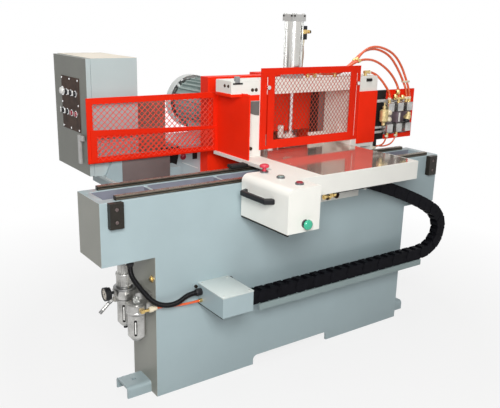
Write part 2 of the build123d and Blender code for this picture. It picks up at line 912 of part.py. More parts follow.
with BuildPart() as rear_stand:
    block((stand_left, stand_right), (stand_front, stand_back), (0, deck_bottom))
    block(
        (stand_left + stand_wall, stand_right - stand_wall),
        (stand_front + stand_wall, stand_back - stand_wall),
        (0, deck_bottom - stand_wall),
        mode=Mode.SUBTRACT,
    )
    block(
        (stand_left - deck_overhang, stand_right + deck_overhang),
        (deck_front, deck_back),
        (deck_bottom, deck_height),
    )
    bar((cutter_x, cutter_y, deck_bottom - stand_wall), up, cutter_motor_radius + 2.0,
        stand_wall + deck_thickness, mode=Mode.SUBTRACT)
    block(
        (stand_left - deck_overhang, stand_right + deck_overhang),
        (stand_back, stand_back + stand_flange_depth),
        (0, stand_flange_thickness),
    )
    for hole_x in (stand_left + stand_hole_inset, stand_right - stand_hole_inset):
        bar((hole_x, stand_back + stand_flange_depth / 2, 0), up, floor_hole_radius,
            stand_flange_thickness, mode=Mode.SUBTRACT)
    with BuildSketch(Plane.XZ.offset(-motor_base_front)):
        Polygon(
            (motor_base_left - motor_base_flare, deck_height),
            (motor_base_left, motor_base_top),
            (motor_base_right, motor_base_top),
            (motor_base_right, deck_height),
            align=None,
        )
    extrude(amount=motor_base_front - deck_back)
    block(
        (motor_base_left + motor_base_wall, motor_base_right - motor_base_wall),
        (motor_base_front + motor_base_wall, deck_back),
        (deck_height, motor_base_top - motor_base_wall),
        mode=Mode.SUBTRACT,
    )
    with BuildSketch(Plane.XZ.offset(-cabinet_front)):
        Polygon(
            (stand_left, arm_top - arm_height),
            (stand_left, arm_top),
            (arm_left + arm_slant, arm_top),
            (arm_left, arm_top - arm_nose),
            (arm_left, arm_top - 2 * arm_nose),
            align=None,
        )
    extrude(amount=-arm_depth)
    block((cabinet_right, column_right), (column_front, arm_back), (arm_top, column_top))
    block(
        (cabinet_right + stand_wall, column_right - stand_wall),
        (column_front + stand_wall, arm_back - stand_wall),
        (arm_top - stand_wall, column_top - stand_wall),
        mode=Mode.SUBTRACT,
    )
    block(
        (arm_left + 2 * arm_slant, stand_left),
        (cabinet_front + stand_wall, arm_back - stand_wall),
        (arm_top - arm_height, arm_top - stand_wall),
        mode=Mode.SUBTRACT,
    )
    with BuildSketch(Plane.XZ.offset(-cabinet_front)):
        Polygon(
            (bracket_left, arm_top),
            (bracket_left + bracket_slant, arm_top + bracket_rise),
            (bracket_right, arm_top + bracket_rise),
            (bracket_right, arm_top - bracket_drop),
            (bracket_left + bracket_heel, arm_top - bracket_drop),
            align=None,
        )
    extrude(amount=bracket_thickness)
save(rear_stand, "rear_stand")

# Electrical cabinet: a sheet box open on its left, strapped to the bed and standing on the arm
cabinet_back = cabinet_front + cabinet_depth
cabinet_open = cabinet_left + door_thickness
cabinet_bottom = arm_top
strap_left = cabinet_open + cabinet_strap_inset
cabinet_top = cabinet_bottom + cabinet_height
hinge_y = cabinet_back + hinge_offset
hinge_heights = (cabinet_bottom + hinge_inset, cabinet_top - hinge_inset)
with BuildPart() as cabinet_body:
    block((cabinet_open, cabinet_right), (cabinet_front, cabinet_back), (cabinet_bottom, cabinet_top))
    block(
        (cabinet_open, cabinet_right - cabinet_wall),
        (cabinet_front + cabinet_wall, cabinet_back - cabinet_wall),
        (cabinet_bottom + cabinet_wall, cabinet_top - cabinet_wall),
        mode=Mode.SUBTRACT,
    )
    block(
        (strap_left, strap_left + cabinet_strap_width),
        (bed_back, arm_back),
        (cabinet_bottom - cabinet_strap, cabinet_bottom),
    )
    for height in hinge_heights:
        block(
            (cabinet_open, cabinet_open + hinge_radius),
            (cabinet_back, hinge_y),
            (height - hinge_length / 2, height),
        )
        bar((cabinet_open, hinge_y, height - hinge_length / 2), up, hinge_radius, hinge_length / 2)
        bar((cabinet_open, hinge_y, height - hinge_length / 2), up, hinge_radius / 2, hinge_length)
save(cabinet_body, "cabinet_body")

# Switchgear: a back plate with breakers, contactors and a terminal row
gear_right = cabinet_right - cabinet_wall
gear_left = gear_right - gear_plate
with BuildPart() as switchgear:
    block(
        (gear_left, gear_right),
        (cabinet_front + gear_margin, cabinet_back - gear_margin),
        (cabinet_bottom + gear_margin, cabinet_top - gear_margin),
    )
    for row, reach, width, height, count in (
        (0.80, 70.0, 36.0, 90.0, 6),
        (0.52, 85.0, 62.0, 80.0, 4),
        (0.24, 45.0, 14.0, 50.0, 14),
    ):
        row_z = cabinet_bottom + row * cabinet_height
        row_pitch = (cabinet_depth - 2.4 * gear_margin) / count
        for number in range(count):
            item_y = cabinet_front + 1.2 * gear_margin + (number + 0.5) * row_pitch
            block(
                (gear_left - reach, gear_left),
                (item_y - width / 2, item_y + width / 2),
                (row_z - height / 2, row_z + height / 2),
            )
save(switchgear, "switchgear")

# Cabinet door: a pan on two lift-off hinges, drilled for the panel buttons and the latch
door_right = cabinet_open - seat_gap
door_front = cabinet_front + door_margin
door_back = cabinet_back - door_margin
door_bottom = cabinet_bottom + door_margin
door_top = cabinet_top - door_margin
plate_front = cabinet_front + plate_front_inset
plate_top = cabinet_top - plate_top_inset
plate_left = cabinet_left - plate_thickness
lamp_z = plate_top - lamp_row
button_z = lamp_z - button_row_gap
columns = [plate_front + lamp_margin + number * lamp_pitch for number in range(lamp_count)]
latch_y = cabinet_front + latch_front_inset + latch_width
latch_z = cabinet_bottom + latch_height - latch_width / 2
with BuildPart() as cabinet_door:
    block((cabinet_left, door_right), (door_front, door_back), (door_bottom, door_top))
    block(
        (cabinet_left + door_skin, door_right),
        (door_front + 4 * door_skin, door_back - 4 * door_skin),
        (door_bottom + 4 * door_skin, door_top - 4 * door_skin),
        mode=Mode.SUBTRACT,
    )
    for column in columns[:2]:
        bar((cabinet_left, column, button_z), right, panel_stem_radius + running_gap, door_skin,
            mode=Mode.SUBTRACT)
    bar((cabinet_left, latch_y, latch_z), right, latch_pivot_radius + running_gap, door_skin,
        mode=Mode.SUBTRACT)
    for height in hinge_heights:
        block(
            (cabinet_open - 2 * hinge_radius, door_right),
            (door_back, hinge_y),
            (height + seat_gap, height + hinge_length / 2),
        )
        bar((cabinet_open, hinge_y, height + seat_gap), up, hinge_radius, hinge_length / 2 - seat_gap)
        bar((cabinet_open, hinge_y, height + seat_gap), up, hinge_radius / 2 + running_gap,
            hinge_length / 2 - seat_gap, mode=Mode.SUBTRACT)
save(cabinet_door, "cabinet_door")

# Control plate on the door
with BuildPart() as control_plate:
    block(
        (plate_left, cabinet_left),
        (plate_front, plate_front + plate_depth),
        (plate_top - plate_height, plate_top),
    )
    for column in columns[:2]:
        bar((plate_left, column, button_z), right, panel_stem_radius + running_gap, plate_thickness,
            mode=Mode.SUBTRACT)
save(control_plate, "control_plate")

# Lamps and bezels of the control plate
with BuildPart() as panel_lamps:
    for column in columns:
        radius = big_lamp_radius if column == columns[-1] else lamp_radius
        bar((plate_left, column, lamp_z), left, radius + bezel_wall, bezel_rise)
        bar((plate_left - bezel_rise, column, lamp_z), left, radius, lamp_rise - bezel_rise)
    for column in columns[2:]:
        bar((plate_left, column, button_z), left, lamp_radius + bezel_wall, bezel_rise)
        bar((plate_left - bezel_rise, column, button_z), left, lamp_radius, lamp_rise - bezel_rise)
    for column in columns[:2]:
        bar((plate_left, column, button_z), left, panel_cap_radius + seat_gap + bezel_wall, bezel_rise)
        bar((plate_left, column, button_z), left, panel_cap_radius + seat_gap, bezel_rise,
            mode=Mode.SUBTRACT)
save(panel_lamps, "panel_lamps")

# Push buttons of the control plate
for button_name, column in zip(("panel_button_a", "panel_button_b"), columns):
    with BuildPart() as panel_button:
        cap_back = plate_left - panel_travel - seat_gap
        bar((cap_back, column, button_z), left, panel_cap_radius, panel_cap_height)
        bar((cap_back, column, button_z), right, panel_stem_radius, panel_stem_length)
    save(panel_button, button_name)

# Latch lever of the door
with BuildPart() as door_handle:
    latch_right = cabinet_left - latch_rise
    block(
        (latch_right - latch_thickness, latch_right),
        (latch_y - latch_width / 2, latch_y + latch_width / 2),
        (latch_z + latch_width / 2 - latch_length, latch_z + latch_width / 2),
    )
    block(
        (latch_right - latch_thickness, latch_right),
        (latch_y - 2 * latch_width, latch_y - latch_width / 2),
        (latch_z - latch_width / 2, latch_z + latch_width / 2),
    )
    bar((latch_right, latch_y, latch_z), right, latch_pivot_radius, latch_rise + 2 * door_skin)
save(door_handle, "door_handle")

# Cutter hood: a shallow cover over the saw and a deep one over the finger cutter, slotted for the work
hood_top = deck_height + hood_height
dust_z = deck_height + dust_lift
covers = ((hood_left, saw_cover_back), (cutter_cover_left, hood_back))
with BuildPart() as cutter_hood:
    for cover_left, cover_back in covers:
        block((cover_left, hood_right), (hood_front, cover_back), (deck_height, hood_top))
    for cover_left, cover_back in covers:
        block(
            (cover_left + hood_wall, hood_right - hood_wall),
            (hood_front + hood_wall, cover_back - hood_wall),
            (deck_height, hood_top - hood_wall),
            mode=Mode.SUBTRACT,
        )
    block(
        (hood_left + work_slot_margin, hood_right - work_slot_margin),
        (hood_front, hood_front + hood_wall),
        (table_top - work_slot_drop, table_top + work_slot_rise),
        mode=Mode.SUBTRACT,
    )
    bar((saw_x, saw_cover_back - hood_wall, saw_height), back, saw_nose_radius + nose_hole_gap, hood_wall,
        mode=Mode.SUBTRACT)
    bar((cutter_x, hood_back, dust_z), back, dust_radius, dust_length)
    bar((cutter_x, hood_back - hood_wall, dust_z), back, dust_radius - hood_wall,
        hood_wall + dust_length, mode=Mode.SUBTRACT)
save(cutter_hood, "cutter_hood")

# Saw motor: a finned frame with a front flange, a spindle nose, a foot and a terminal box
blade_front = hood_front + saw_from_hood
blade_back = blade_front + saw_thickness
nose_front = blade_back + saw_collar + saw_nose_gap
motor_front = saw_cover_back + motor_flange
motor_back = motor_front + motor_length
with BuildPart() as saw_motor:
    bar((saw_x, motor_front, saw_height), back, motor_radius, motor_length)
    with Locations(Plane(origin=(saw_x, motor_front + motor_length / 2, saw_height), z_dir=back)):
        with PolarLocations(motor_radius + motor_fin_height / 2 - 2.0, motor_fins):
            Box(motor_fin_height + 4.0, motor_fin_width, 0.9 * motor_length)
    bar((saw_x, saw_cover_back, saw_height), back, motor_flange_radius, motor_flange)
    bar((saw_x, nose_front, saw_height), back, saw_nose_radius, saw_cover_back - nose_front)
    block(
        (saw_x - motor_foot_width / 2, saw_x + motor_foot_width / 2),
        (motor_front + 0.1 * motor_length, motor_back - 0.3 * motor_length),
        (motor_base_top, saw_height - 0.7 * motor_radius),
    )
    block(
        (saw_x + 0.9 * motor_radius, saw_x + motor_radius + terminal_box_reach),
        (motor_back - 1.5 * terminal_box_length, motor_back - 0.5 * terminal_box_length),
        (saw_height - terminal_box_height / 2, saw_height + terminal_box_height / 2),
    )
    bar((saw_x, nose_front, saw_height), back, saw_shaft_radius, motor_back - nose_front,
        mode=Mode.SUBTRACT)
save(saw_motor, "saw_motor")

# Fan cowl of the saw motor: a cup with vents, held by lugs on the motor's end
with BuildPart() as motor_cowl:
    bar((saw_x, motor_back, saw_height), back, cowl_radius, cowl_length)
    fillet(motor_cowl.faces().sort_by(Axis.Y)[-1].edges(), cowl_round)
    for radius, depth in (
        (cowl_radius - cowl_wall, cowl_length - cowl_round),
        (cowl_radius - cowl_round, cowl_length - cowl_wall),
    ):
        bar((saw_x, motor_back, saw_height), back, radius, depth, mode=Mode.SUBTRACT)
    with Locations(Plane(origin=(saw_x, motor_back + 4.0, saw_height), z_dir=back)):
        with PolarLocations((motor_radius + cowl_radius) / 2 - 6.0, 4, start_angle=45):
            Box(cowl_radius - motor_radius + 8.0, 14.0, 8.0)
    with Locations(Plane(origin=(saw_x, motor_back + cowl_length, saw_height), z_dir=back)):
        for ring_radius, vents in ((42.0, 8), (76.0, 14), (110.0, 20)):
            with PolarLocations(ring_radius, vents):
                Cylinder(cowl_vent_radius, 3 * cowl_wall, mode=Mode.SUBTRACT)
save(motor_cowl, "motor_cowl")

# Saw shaft with its collars, nut and fan
with BuildPart() as saw_shaft:
    bar((saw_x, blade_front - saw_nut_length - 6.0, saw_height), back, saw_shaft_radius - running_gap,
        motor_back + fan_gap + fan_thickness - blade_front + saw_nut_length + 6.0)
    bar((saw_x, blade_back, saw_height), back, saw_collar_radius, saw_collar)
    bar((saw_x, blade_front - saw_nut_length, saw_height), back, saw_collar_radius - 8.0, saw_nut_length)
    bar((saw_x, motor_back + fan_gap, saw_height), back, fan_radius, fan_thickness)
save(saw_shaft, "saw_shaft")

# Saw blade
with BuildPart() as saw_blade:
    bar((saw_x, blade_front, saw_height), back, saw_radius, saw_thickness)
    with Locations(Plane(origin=(saw_x, blade_front + saw_thickness / 2, saw_height), z_dir=back)):
        with PolarLocations(saw_radius - saw_tooth_depth / 2 + 1.0, saw_teeth):
            Box(saw_tooth_depth + 2.0, 8.0, 2 * saw_thickness, mode=Mode.SUBTRACT)
    bar((saw_x, blade_front, saw_height), back, saw_shaft_radius, saw_thickness, mode=Mode.SUBTRACT)
save(saw_blade, "saw_blade")

# Cutter motor: it hangs in the stand from a flange on the deck, with a housing for the spindle
cutter_bottom = table_top - cutter_drop
cutter_top = cutter_bottom + cutter_fingers * cutter_pitch
housing_top = cutter_bottom - cutter_collar - 2.0
spindle_bottom = deck_height - cutter_shaft_depth
with BuildPart() as cutter_motor:
    bar((cutter_x, cutter_y, deck_height - cutter_motor_length), up, cutter_motor_radius,
        cutter_motor_length)
    bar((cutter_x, cutter_y, deck_height), up, cutter_flange_radius, cutter_flange)
    bar((cutter_x, cutter_y, deck_height), up, cutter_housing_radius, housing_top - deck_height)
    bar((cutter_x, cutter_y, spindle_bottom), up, cutter_shaft_radius, housing_top - spindle_bottom,
        mode=Mode.SUBTRACT)
save(cutter_motor, "cutter_motor")

# Cutter spindle with its collar and nut
with BuildPart() as cutter_spindle:
    bar((cutter_x, cutter_y, spindle_bottom + 1.0), up, cutter_shaft_radius - running_gap,
        cutter_top + cutter_nut_height + 6.0 - spindle_bottom - 1.0)
    bar((cutter_x, cutter_y, cutter_bottom - cutter_collar), up, cutter_collar_radius, cutter_collar)
    bar((cutter_x, cutter_y, cutter_top), up, cutter_collar_radius - 6.0, cutter_nut_height)
save(cutter_spindle, "cutter_spindle")

# Finger cutters: a stack of toothed discs
with BuildPart() as finger_cutters:
    profile = [(cutter_shaft_radius, 0)]
    for number in range(cutter_fingers):
        low = number * cutter_pitch
        profile.append((cutter_radius - cutter_finger_depth, low))
        profile.append((cutter_radius, low + 0.4 * cutter_pitch))
        profile.append((cutter_radius, low + 0.6 * cutter_pitch))
    profile.append((cutter_radius - cutter_finger_depth, cutter_fingers * cutter_pitch))
    profile.append((cutter_shaft_radius, cutter_fingers * cutter_pitch))
    with BuildSketch(Plane(origin=(cutter_x, cutter_y, cutter_bottom), x_dir=right, z_dir=front)):
        with BuildLine():
            Polyline(*profile, close=True)
        make_face()
    revolve(axis=Axis((cutter_x, cutter_y, 0), up))
    with Locations((cutter_x, cutter_y, (cutter_bottom + cutter_top) / 2)):
        with PolarLocations(cutter_radius - 8.0, cutter_gullets):
            Box(36.0, 20.0, 2 * (cutter_top - cutter_bottom), mode=Mode.SUBTRACT)
save(finger_cutters, "finger_cutters")

# Carriage frame: a saddle plate with a left border, skirts, the chain's anchor and a hose bulkhead
anchor_point, anchor_normal = station(chain_end)
anchor_corners = [
    anchor_point + anchor_normal * (chain_height / 2),
    anchor_point - anchor_normal * (chain_height / 2),
]
anchor_right = min(corner.X for corner in anchor_corners)
anchor_bottom = min(corner.Z for corner in anchor_corners) - 6.0
skirt_front = table_front - skirt_thickness
skirt_bottom = table_top - skirt_height
control_back = bed_front - control_setback
bulkhead_bottom = runner_top - 30.0
bulkhead_left = carriage_right - 20.0
bulkhead_back = portal_front + 70.0
with BuildPart() as carriage_frame:
    block((carriage_left, table_right), (table_front, carriage_back), (runner_top, saddle_top))
    block((table_right, carriage_right), (portal_front, carriage_back), (runner_top, saddle_top))
    block((carriage_left, table_left), (table_front, carriage_back), (saddle_top, table_top))
    block((carriage_left, table_right + skirt_thickness), (skirt_front, table_front),
          (skirt_bottom, table_top))
    block((table_right, table_right + skirt_thickness), (table_front, control_back),
          (skirt_bottom, table_top))
    block((anchor_right - chain_anchor_thickness, anchor_right), (chain_front, chain_back),
          (anchor_bottom, runner_top))
    block((bulkhead_left, carriage_right), (portal_front, bulkhead_back), (bulkhead_bottom, runner_top))
save(carriage_frame, "carriage_frame")

# Table plate
with BuildPart() as table_plate:
    block((table_left, table_right), (table_front, carriage_back), (saddle_top, table_top))
save(table_plate, "table_plate")

# Bearing blocks: runners that straddle the rails
with BuildPart() as bearing_blocks:
    for runner_left in (
        carriage_left + runner_margin,
        table_right - runner_margin - runner_length,
    ):
        for rail_side in (-rail_y, rail_y):
            block(
                (runner_left, runner_left + runner_length),
                (rail_side - runner_width / 2, rail_side + runner_width / 2),
                (bed_top + runner_lift, runner_top),
            )
            block(
                (runner_left, runner_left + runner_length),
                (rail_side - rail_width / 2 - running_gap, rail_side + rail_width / 2 + running_gap),
                (bed_top + runner_lift, rail_top + seat_gap),
                mode=Mode.SUBTRACT,
            )
save(bearing_blocks, "bearing_blocks")

# Control box: a sheet box with one rounded long edge and a collar for each button
control_left = carriage_left - control_width
control_front = control_back - control_depth
control_bottom = table_top - control_height
button_x = carriage_left - button_row_inset
estop_y = control_back + button_row[0]
start_y = control_back + button_row[1]
stop_y = control_back + button_row[2]
cycle_x = carriage_left - button_row_inset - 9.0
cycle_z = table_top - cycle_drop
collar_top = table_top + button_collar_height
cap_hole = button_cap_radius + seat_gap
collar_radius = cap_hole + button_collar_wall
with BuildPart() as control_box:
    with BuildSketch(Plane.XZ.offset(-control_back)) as box_outline:
        with Locations(((control_left + carriage_left) / 2, (control_bottom + table_top) / 2)):
            Rectangle(control_width, control_height)
        fillet(box_outline.vertices().sort_by(Axis.X)[:2].sort_by(Axis.Y)[-1], control_corner)
    extrude(amount=control_depth)
    with BuildSketch(Plane.XZ.offset(-control_back + control_wall)) as hollow_outline:
        with Locations(
            ((control_left + carriage_left) / 2, (control_bottom + table_top - control_wall) / 2)
        ):
            Rectangle(control_width - 2 * control_wall, control_height - control_wall)
        fillet(
            hollow_outline.vertices().sort_by(Axis.X)[:2].sort_by(Axis.Y)[-1],
            control_corner - control_wall,
        )
    extrude(amount=control_depth - 2 * control_wall, mode=Mode.SUBTRACT)
    for collar_y in (estop_y, start_y, stop_y):
        bar((button_x, collar_y, table_top), up, collar_radius, button_collar_height)
    bar((cycle_x, control_front, cycle_z), front, collar_radius, button_collar_height)
    bar((button_x, estop_y, table_top - control_wall), up, estop_stem_radius + running_gap,
        control_wall + button_collar_height, mode=Mode.SUBTRACT)
    for collar_y in (start_y, stop_y):
        bar((button_x, collar_y, table_top), up, cap_hole, button_collar_height, mode=Mode.SUBTRACT)
        bar((button_x, collar_y, table_top - control_wall), up, button_stem_radius + running_gap,
            control_wall, mode=Mode.SUBTRACT)
    bar((cycle_x, control_front + control_wall, cycle_z), front, estop_stem_radius + running_gap,
        control_wall + button_collar_height, mode=Mode.SUBTRACT)
save(control_box, "control_box")

# Emergency stop: a mushroom head on a stem
with BuildPart() as estop_button:
    estop_head = table_top + estop_stem_height
    bar((button_x, estop_y, estop_head), up, estop_radius, estop_head_height)
    fillet(estop_button.faces().sort_by(Axis.Z)[-1].edges(), 5.0)
    bar((button_x, estop_y, table_top - button_stem_length), up, estop_stem_radius,
        button_stem_length + estop_stem_height)
save(estop_button, "estop_button")

# Flush buttons on the box's top
for button_name, button_y in (("start_button", start_y), ("stop_button", stop_y)):
    with BuildPart() as flush_button:
        cap_bottom = table_top + button_cap_rise + 2.0
        bar((button_x, button_y, cap_bottom), up, button_cap_radius,
            collar_top + button_cap_rise - cap_bottom)
        bar((button_x, button_y, cap_bottom - button_stem_length), up, button_stem_radius,
            button_stem_length)
    save(flush_button, button_name)

# Cycle button: a mushroom head on the box's front
with BuildPart() as cycle_button:
    cycle_head = control_front - button_collar_height - cycle_stem_height
    bar((cycle_x, cycle_head, cycle_z), front, cycle_radius, cycle_head_height)
    fillet(cycle_button.faces().sort_by(Axis.Y)[0].edges(), 4.0)
    bar((cycle_x, cycle_head, cycle_z), back, estop_stem_radius,
        button_collar_height + cycle_stem_height + button_stem_length / 2)
save(cycle_button, "cycle_button")

# Bow handle on the box's left face
handle_front = control_back - handle_inset - handle_length
handle_back = control_back - handle_inset
handle_out = control_left - handle_reach
handle_top = table_top - handle_drop + handle_width / 2
with BuildPart() as bow_handle:
    with BuildSketch(Plane.XY.offset(handle_top)) as handle_outline:
        Polygon(
            (control_left, handle_front),
            (handle_out, handle_front + handle_slant),
            (handle_out, handle_back - handle_slant),
            (control_left, handle_back),
            align=None,
        )
        fillet(handle_outline.vertices().sort_by(Axis.X)[:2], handle_bar / 2)
        Polygon(
            (control_left, handle_front + handle_bar + 4.0),
            (handle_out + handle_bar, handle_front + handle_slant + handle_bar),
            (handle_out + handle_bar, handle_back - handle_slant - handle_bar),
            (control_left, handle_back - handle_bar - 4.0),
            align=None,
            mode=Mode.SUBTRACT,
        )
    extrude(amount=-handle_width)
    fillet(bow_handle.edges().filter_by(Axis.Y).group_by(Axis.X)[0], 6.0)
save(bow_handle, "bow_handle")

# Portal frame: two posts, open at the back, and the crossbeam over the table
post_right = post_left + post_width
beam_back = portal_front + crossbeam_depth
clamp_x = post_right + clamp_from_post
clamp_y = portal_front + crossbeam_depth / 2
pusher_y = portal_front + pusher_back
pusher_z = table_top + pusher_height
with BuildPart() as portal_frame:
    block((post_left, post_right), (portal_front, portal_front + post_depth),
          (table_top, crossbeam_bottom))
    block(
        (post_left + portal_wall, post_right - portal_wall),
        (portal_front + portal_wall, portal_front + post_depth),
        (table_top + portal_wall, crossbeam_bottom),
        mode=Mode.SUBTRACT,
    )
    block((table_right, carriage_right), (portal_front, carriage_back), (saddle_top, crossbeam_bottom))
    block(
        (table_right + portal_wall, carriage_right - portal_wall),
        (portal_front + portal_wall, carriage_back),
        (saddle_top + portal_wall, crossbeam_bottom),
        mode=Mode.SUBTRACT,
    )
    block((crossbeam_left, carriage_right), (portal_front, beam_back), (crossbeam_bottom, crossbeam_top))
    block(
        (crossbeam_left + portal_wall, carriage_right - portal_wall),
        (portal_front + portal_wall, beam_back),
        (crossbeam_bottom + portal_wall, crossbeam_top - portal_wall),
        mode=Mode.SUBTRACT,
    )
    bar((clamp_x, clamp_y, crossbeam_bottom), up, clamp_rod_radius + fixing_gap, crossbeam_height,
        mode=Mode.SUBTRACT)
    bar((table_right, pusher_y, pusher_z), right, pusher_rod_radius + seat_gap, fence_post_width,
        mode=Mode.SUBTRACT)
save(portal_frame, "portal_frame")


def mesh_points(low_x, high_x, low_z, high_z):
    """Centres of the whole diamonds that fit in a window, in offset rows."""
    across = int((high_x - low_x - mesh_strand) / mesh_pitch_x)
    rows = int((high_z - low_z - mesh_strand) / (mesh_pitch_z / 2)) - 1
    first_x = (low_x + high_x) / 2 - (across - 1) * mesh_pitch_x / 2
    first_z = (low_z + high_z) / 2 - (rows - 1) * mesh_pitch_z / 4
    points = []
    for row in range(rows):
        odd = row % 2
        for number in range(across - odd):
            points.append((first_x + (number + odd / 2) * mesh_pitch_x, first_z + row * mesh_pitch_z / 2))
    return points


diamond_x = (mesh_pitch_x - mesh_strand) / 2
diamond_z = (mesh_pitch_z - mesh_strand) / 2
diamond = [(diamond_x, 0), (0, diamond_z), (-diamond_x, 0), (0, -diamond_z)]

# Front guard: a frame with two slots, so that it slides up and down on its bolts
guard_left = table_left - guard_left_margin
guard_right = guard_left + guard_width
guard_bottom = table_top + guard_lift
guard_top = guard_bottom + guard_height
window_left = guard_left + guard_left_bar
window_right = guard_right - guard_right_bar
window_bottom = guard_bottom + guard_bottom_bar
window_top = guard_top - guard_top_bar
bolt_z = (crossbeam_bottom + crossbeam_top) / 2
bolt_xs = (guard_left + guard_slot_inset, guard_right - guard_slot_right_inset)
slot_bottom = guard_bottom + guard_slot_margin
slot_top = bolt_z + 49.0
with BuildPart() as front_guard_frame:
    block((guard_left, guard_right), (guard_front, portal_front), (guard_bottom, guard_top))
    block((window_left, window_right), (guard_front, portal_front), (window_bottom, window_top),
          mode=Mode.SUBTRACT)
    with BuildSketch(Plane.XZ.offset(-portal_front)):
        with Locations(*((bolt_x, (slot_bottom + slot_top) / 2) for bolt_x in bolt_xs)):
            SlotOverall(slot_top - slot_bottom, guard_slot_width, rotation=90)
    extrude(amount=guard_thickness, mode=Mode.SUBTRACT)
save(front_guard_frame, "front_guard_frame")

# Mesh of the front guard
with BuildPart() as front_guard_mesh:
    with BuildSketch(Plane.XZ.offset(-mesh_back)):
        with Locations(((window_left + window_right) / 2, (window_bottom + window_top) / 2)):
            Rectangle(window_right - window_left, window_top - window_bottom)
        with Locations(*mesh_points(window_left, window_right, window_bottom, window_top)):
            Polygon(*diamond, mode=Mode.SUBTRACT)
    extrude(amount=mesh_thickness)
save(front_guard_mesh, "front_guard_mesh")

# Bolts that hold the front guard on the crossbeam
with BuildPart() as guard_bolts:
    for bolt_x in bolt_xs:
        bar((bolt_x, portal_front, bolt_z), front, guard_slot_width / 2 - seat_gap,
            guard_thickness + seat_gap)
        bar((bolt_x, guard_front - seat_gap, bolt_z), front, guard_bolt_head, guard_bolt_head_height)
save(guard_bolts, "guard_bolts")

# Left guard: a framed screen behind the bed, a lower screen before it, and a side plate on the border
side_right = carriage_left + side_guard_inset + guard_thickness
side_left = side_right - side_guard_length
side_back = carriage_back - guard_thickness + 2.0
side_front = side_back - guard_thickness
side_top = table_top + side_guard_height
side_window_left = side_left + side_guard_bar
side_window_right = side_right - side_guard_bar
band_bottom = table_top + side_guard_band_height
band_top = band_bottom + side_guard_band
side_windows = (
    (table_top + side_guard_bar, band_bottom),
    (band_top, side_top - side_guard_bar),
)
screen_left = side_left + screen_inset
screen_right = side_right - guard_thickness
screen_bottom = table_top + screen_lift
screen_top = table_top + screen_height


def screen_outline(bar_width, bottom_bar):
    """The corners of the lower screen, whose top falls to the right, drawn in by the width of its bars."""
    return [
        (screen_left + bar_width, screen_bottom + bottom_bar),
        (screen_right - bar_width / 2, screen_bottom + bottom_bar),
        (screen_right - bar_width / 2, screen_top - screen_fall - bar_width / 2),
        (screen_left + bar_width, screen_top - bar_width),
    ]


with BuildPart() as left_guard_frame:
    block((side_left, side_right), (side_front, side_back), (table_top, side_top))
    for low_z, high_z in side_windows:
        block((side_window_left, side_window_right), (side_front, side_back), (low_z, high_z),
              mode=Mode.SUBTRACT)
    block((side_right - guard_thickness, side_right), (side_back - side_guard_return, side_front),
          (table_top, side_top))
    with BuildSketch(Plane.XZ.offset(-side_front)):
        Polygon(*screen_outline(0, 0), align=None)
        Polygon(*screen_outline(screen_bar, screen_bottom_bar), align=None, mode=Mode.SUBTRACT)
    extrude(amount=screen_thickness)
save(left_guard_frame, "left_guard_frame")

# Meshes of the left guard
side_mesh_back = side_back - guard_thickness / 2 + mesh_thickness / 2
with BuildPart() as left_guard_mesh:
    for low_z, high_z in side_windows:
        with BuildSketch(Plane.XZ.offset(-side_mesh_back)):
            with Locations(((side_window_left + side_window_right) / 2, (low_z + high_z) / 2)):
                Rectangle(side_window_right - side_window_left, high_z - low_z)
            with Locations(*mesh_points(side_window_left, side_window_right, low_z, high_z)):
                Polygon(*diamond, mode=Mode.SUBTRACT)
        extrude(amount=mesh_thickness)
save(left_guard_mesh, "left_guard_mesh")

# Right panels: a plate on the right post, and the frame of the valve panel
valve_panel_right = carriage_right + valve_panel_width
valve_panel_bottom = table_top + valve_panel_drop
valve_panel_top = table_top + right_panel_height
valve_panel_front = portal_front + panel_thickness
valve_frame_left = valve_panel_right - valve_frame_width
with BuildPart() as right_panels:
    block((guard_right + right_panel_gap, carriage_right), (guard_front, portal_front),
          (table_top + right_panel_lift, valve_panel_top))
    block((valve_frame_left, valve_panel_right), (portal_front, valve_panel_front),
          (valve_panel_bottom, valve_panel_top))
    block(
        (valve_frame_left, valve_panel_right - valve_frame_side),
        (portal_front, valve_panel_front),
        (valve_panel_bottom + valve_frame_bottom, valve_panel_top - valve_frame_top),
        mode=Mode.SUBTRACT,
    )
save(right_panels, "right_panels")

# Valve panel: a plate on the side of the right post
with BuildPart() as valve_panel:
    block((carriage_right, valve_panel_right), (valve_panel_front, valve_panel_front + panel_thickness),
          (valve_panel_bottom, valve_panel_top))
save(valve_panel, "valve_panel")

# Valves on the panel
valve_bottom = table_top + valve_lift
valve_top = valve_bottom + valve_height
valve_front = valve_panel_front - valve_depth
valve_y = (valve_front + portal_front) / 2
valve_xs = [carriage_right + valve_inset + number * valve_pitch for number in range(valve_count)]
with BuildPart() as valve_block:
    for valve_x in valve_xs:
        block((valve_x - valve_width / 2, valve_x + valve_width / 2), (valve_front, portal_front),
              (valve_bottom, valve_top))
        bar((valve_x, valve_front, (valve_bottom + valve_top) / 2), front, valve_width / 3, 8.0)
    block(
        (valve_xs[0] - valve_width / 2, valve_panel_right - valve_frame_side),
        (portal_front, valve_panel_front),
        (valve_bottom, valve_panel_top - valve_frame_top),
    )
save(valve_block, "valve_block")

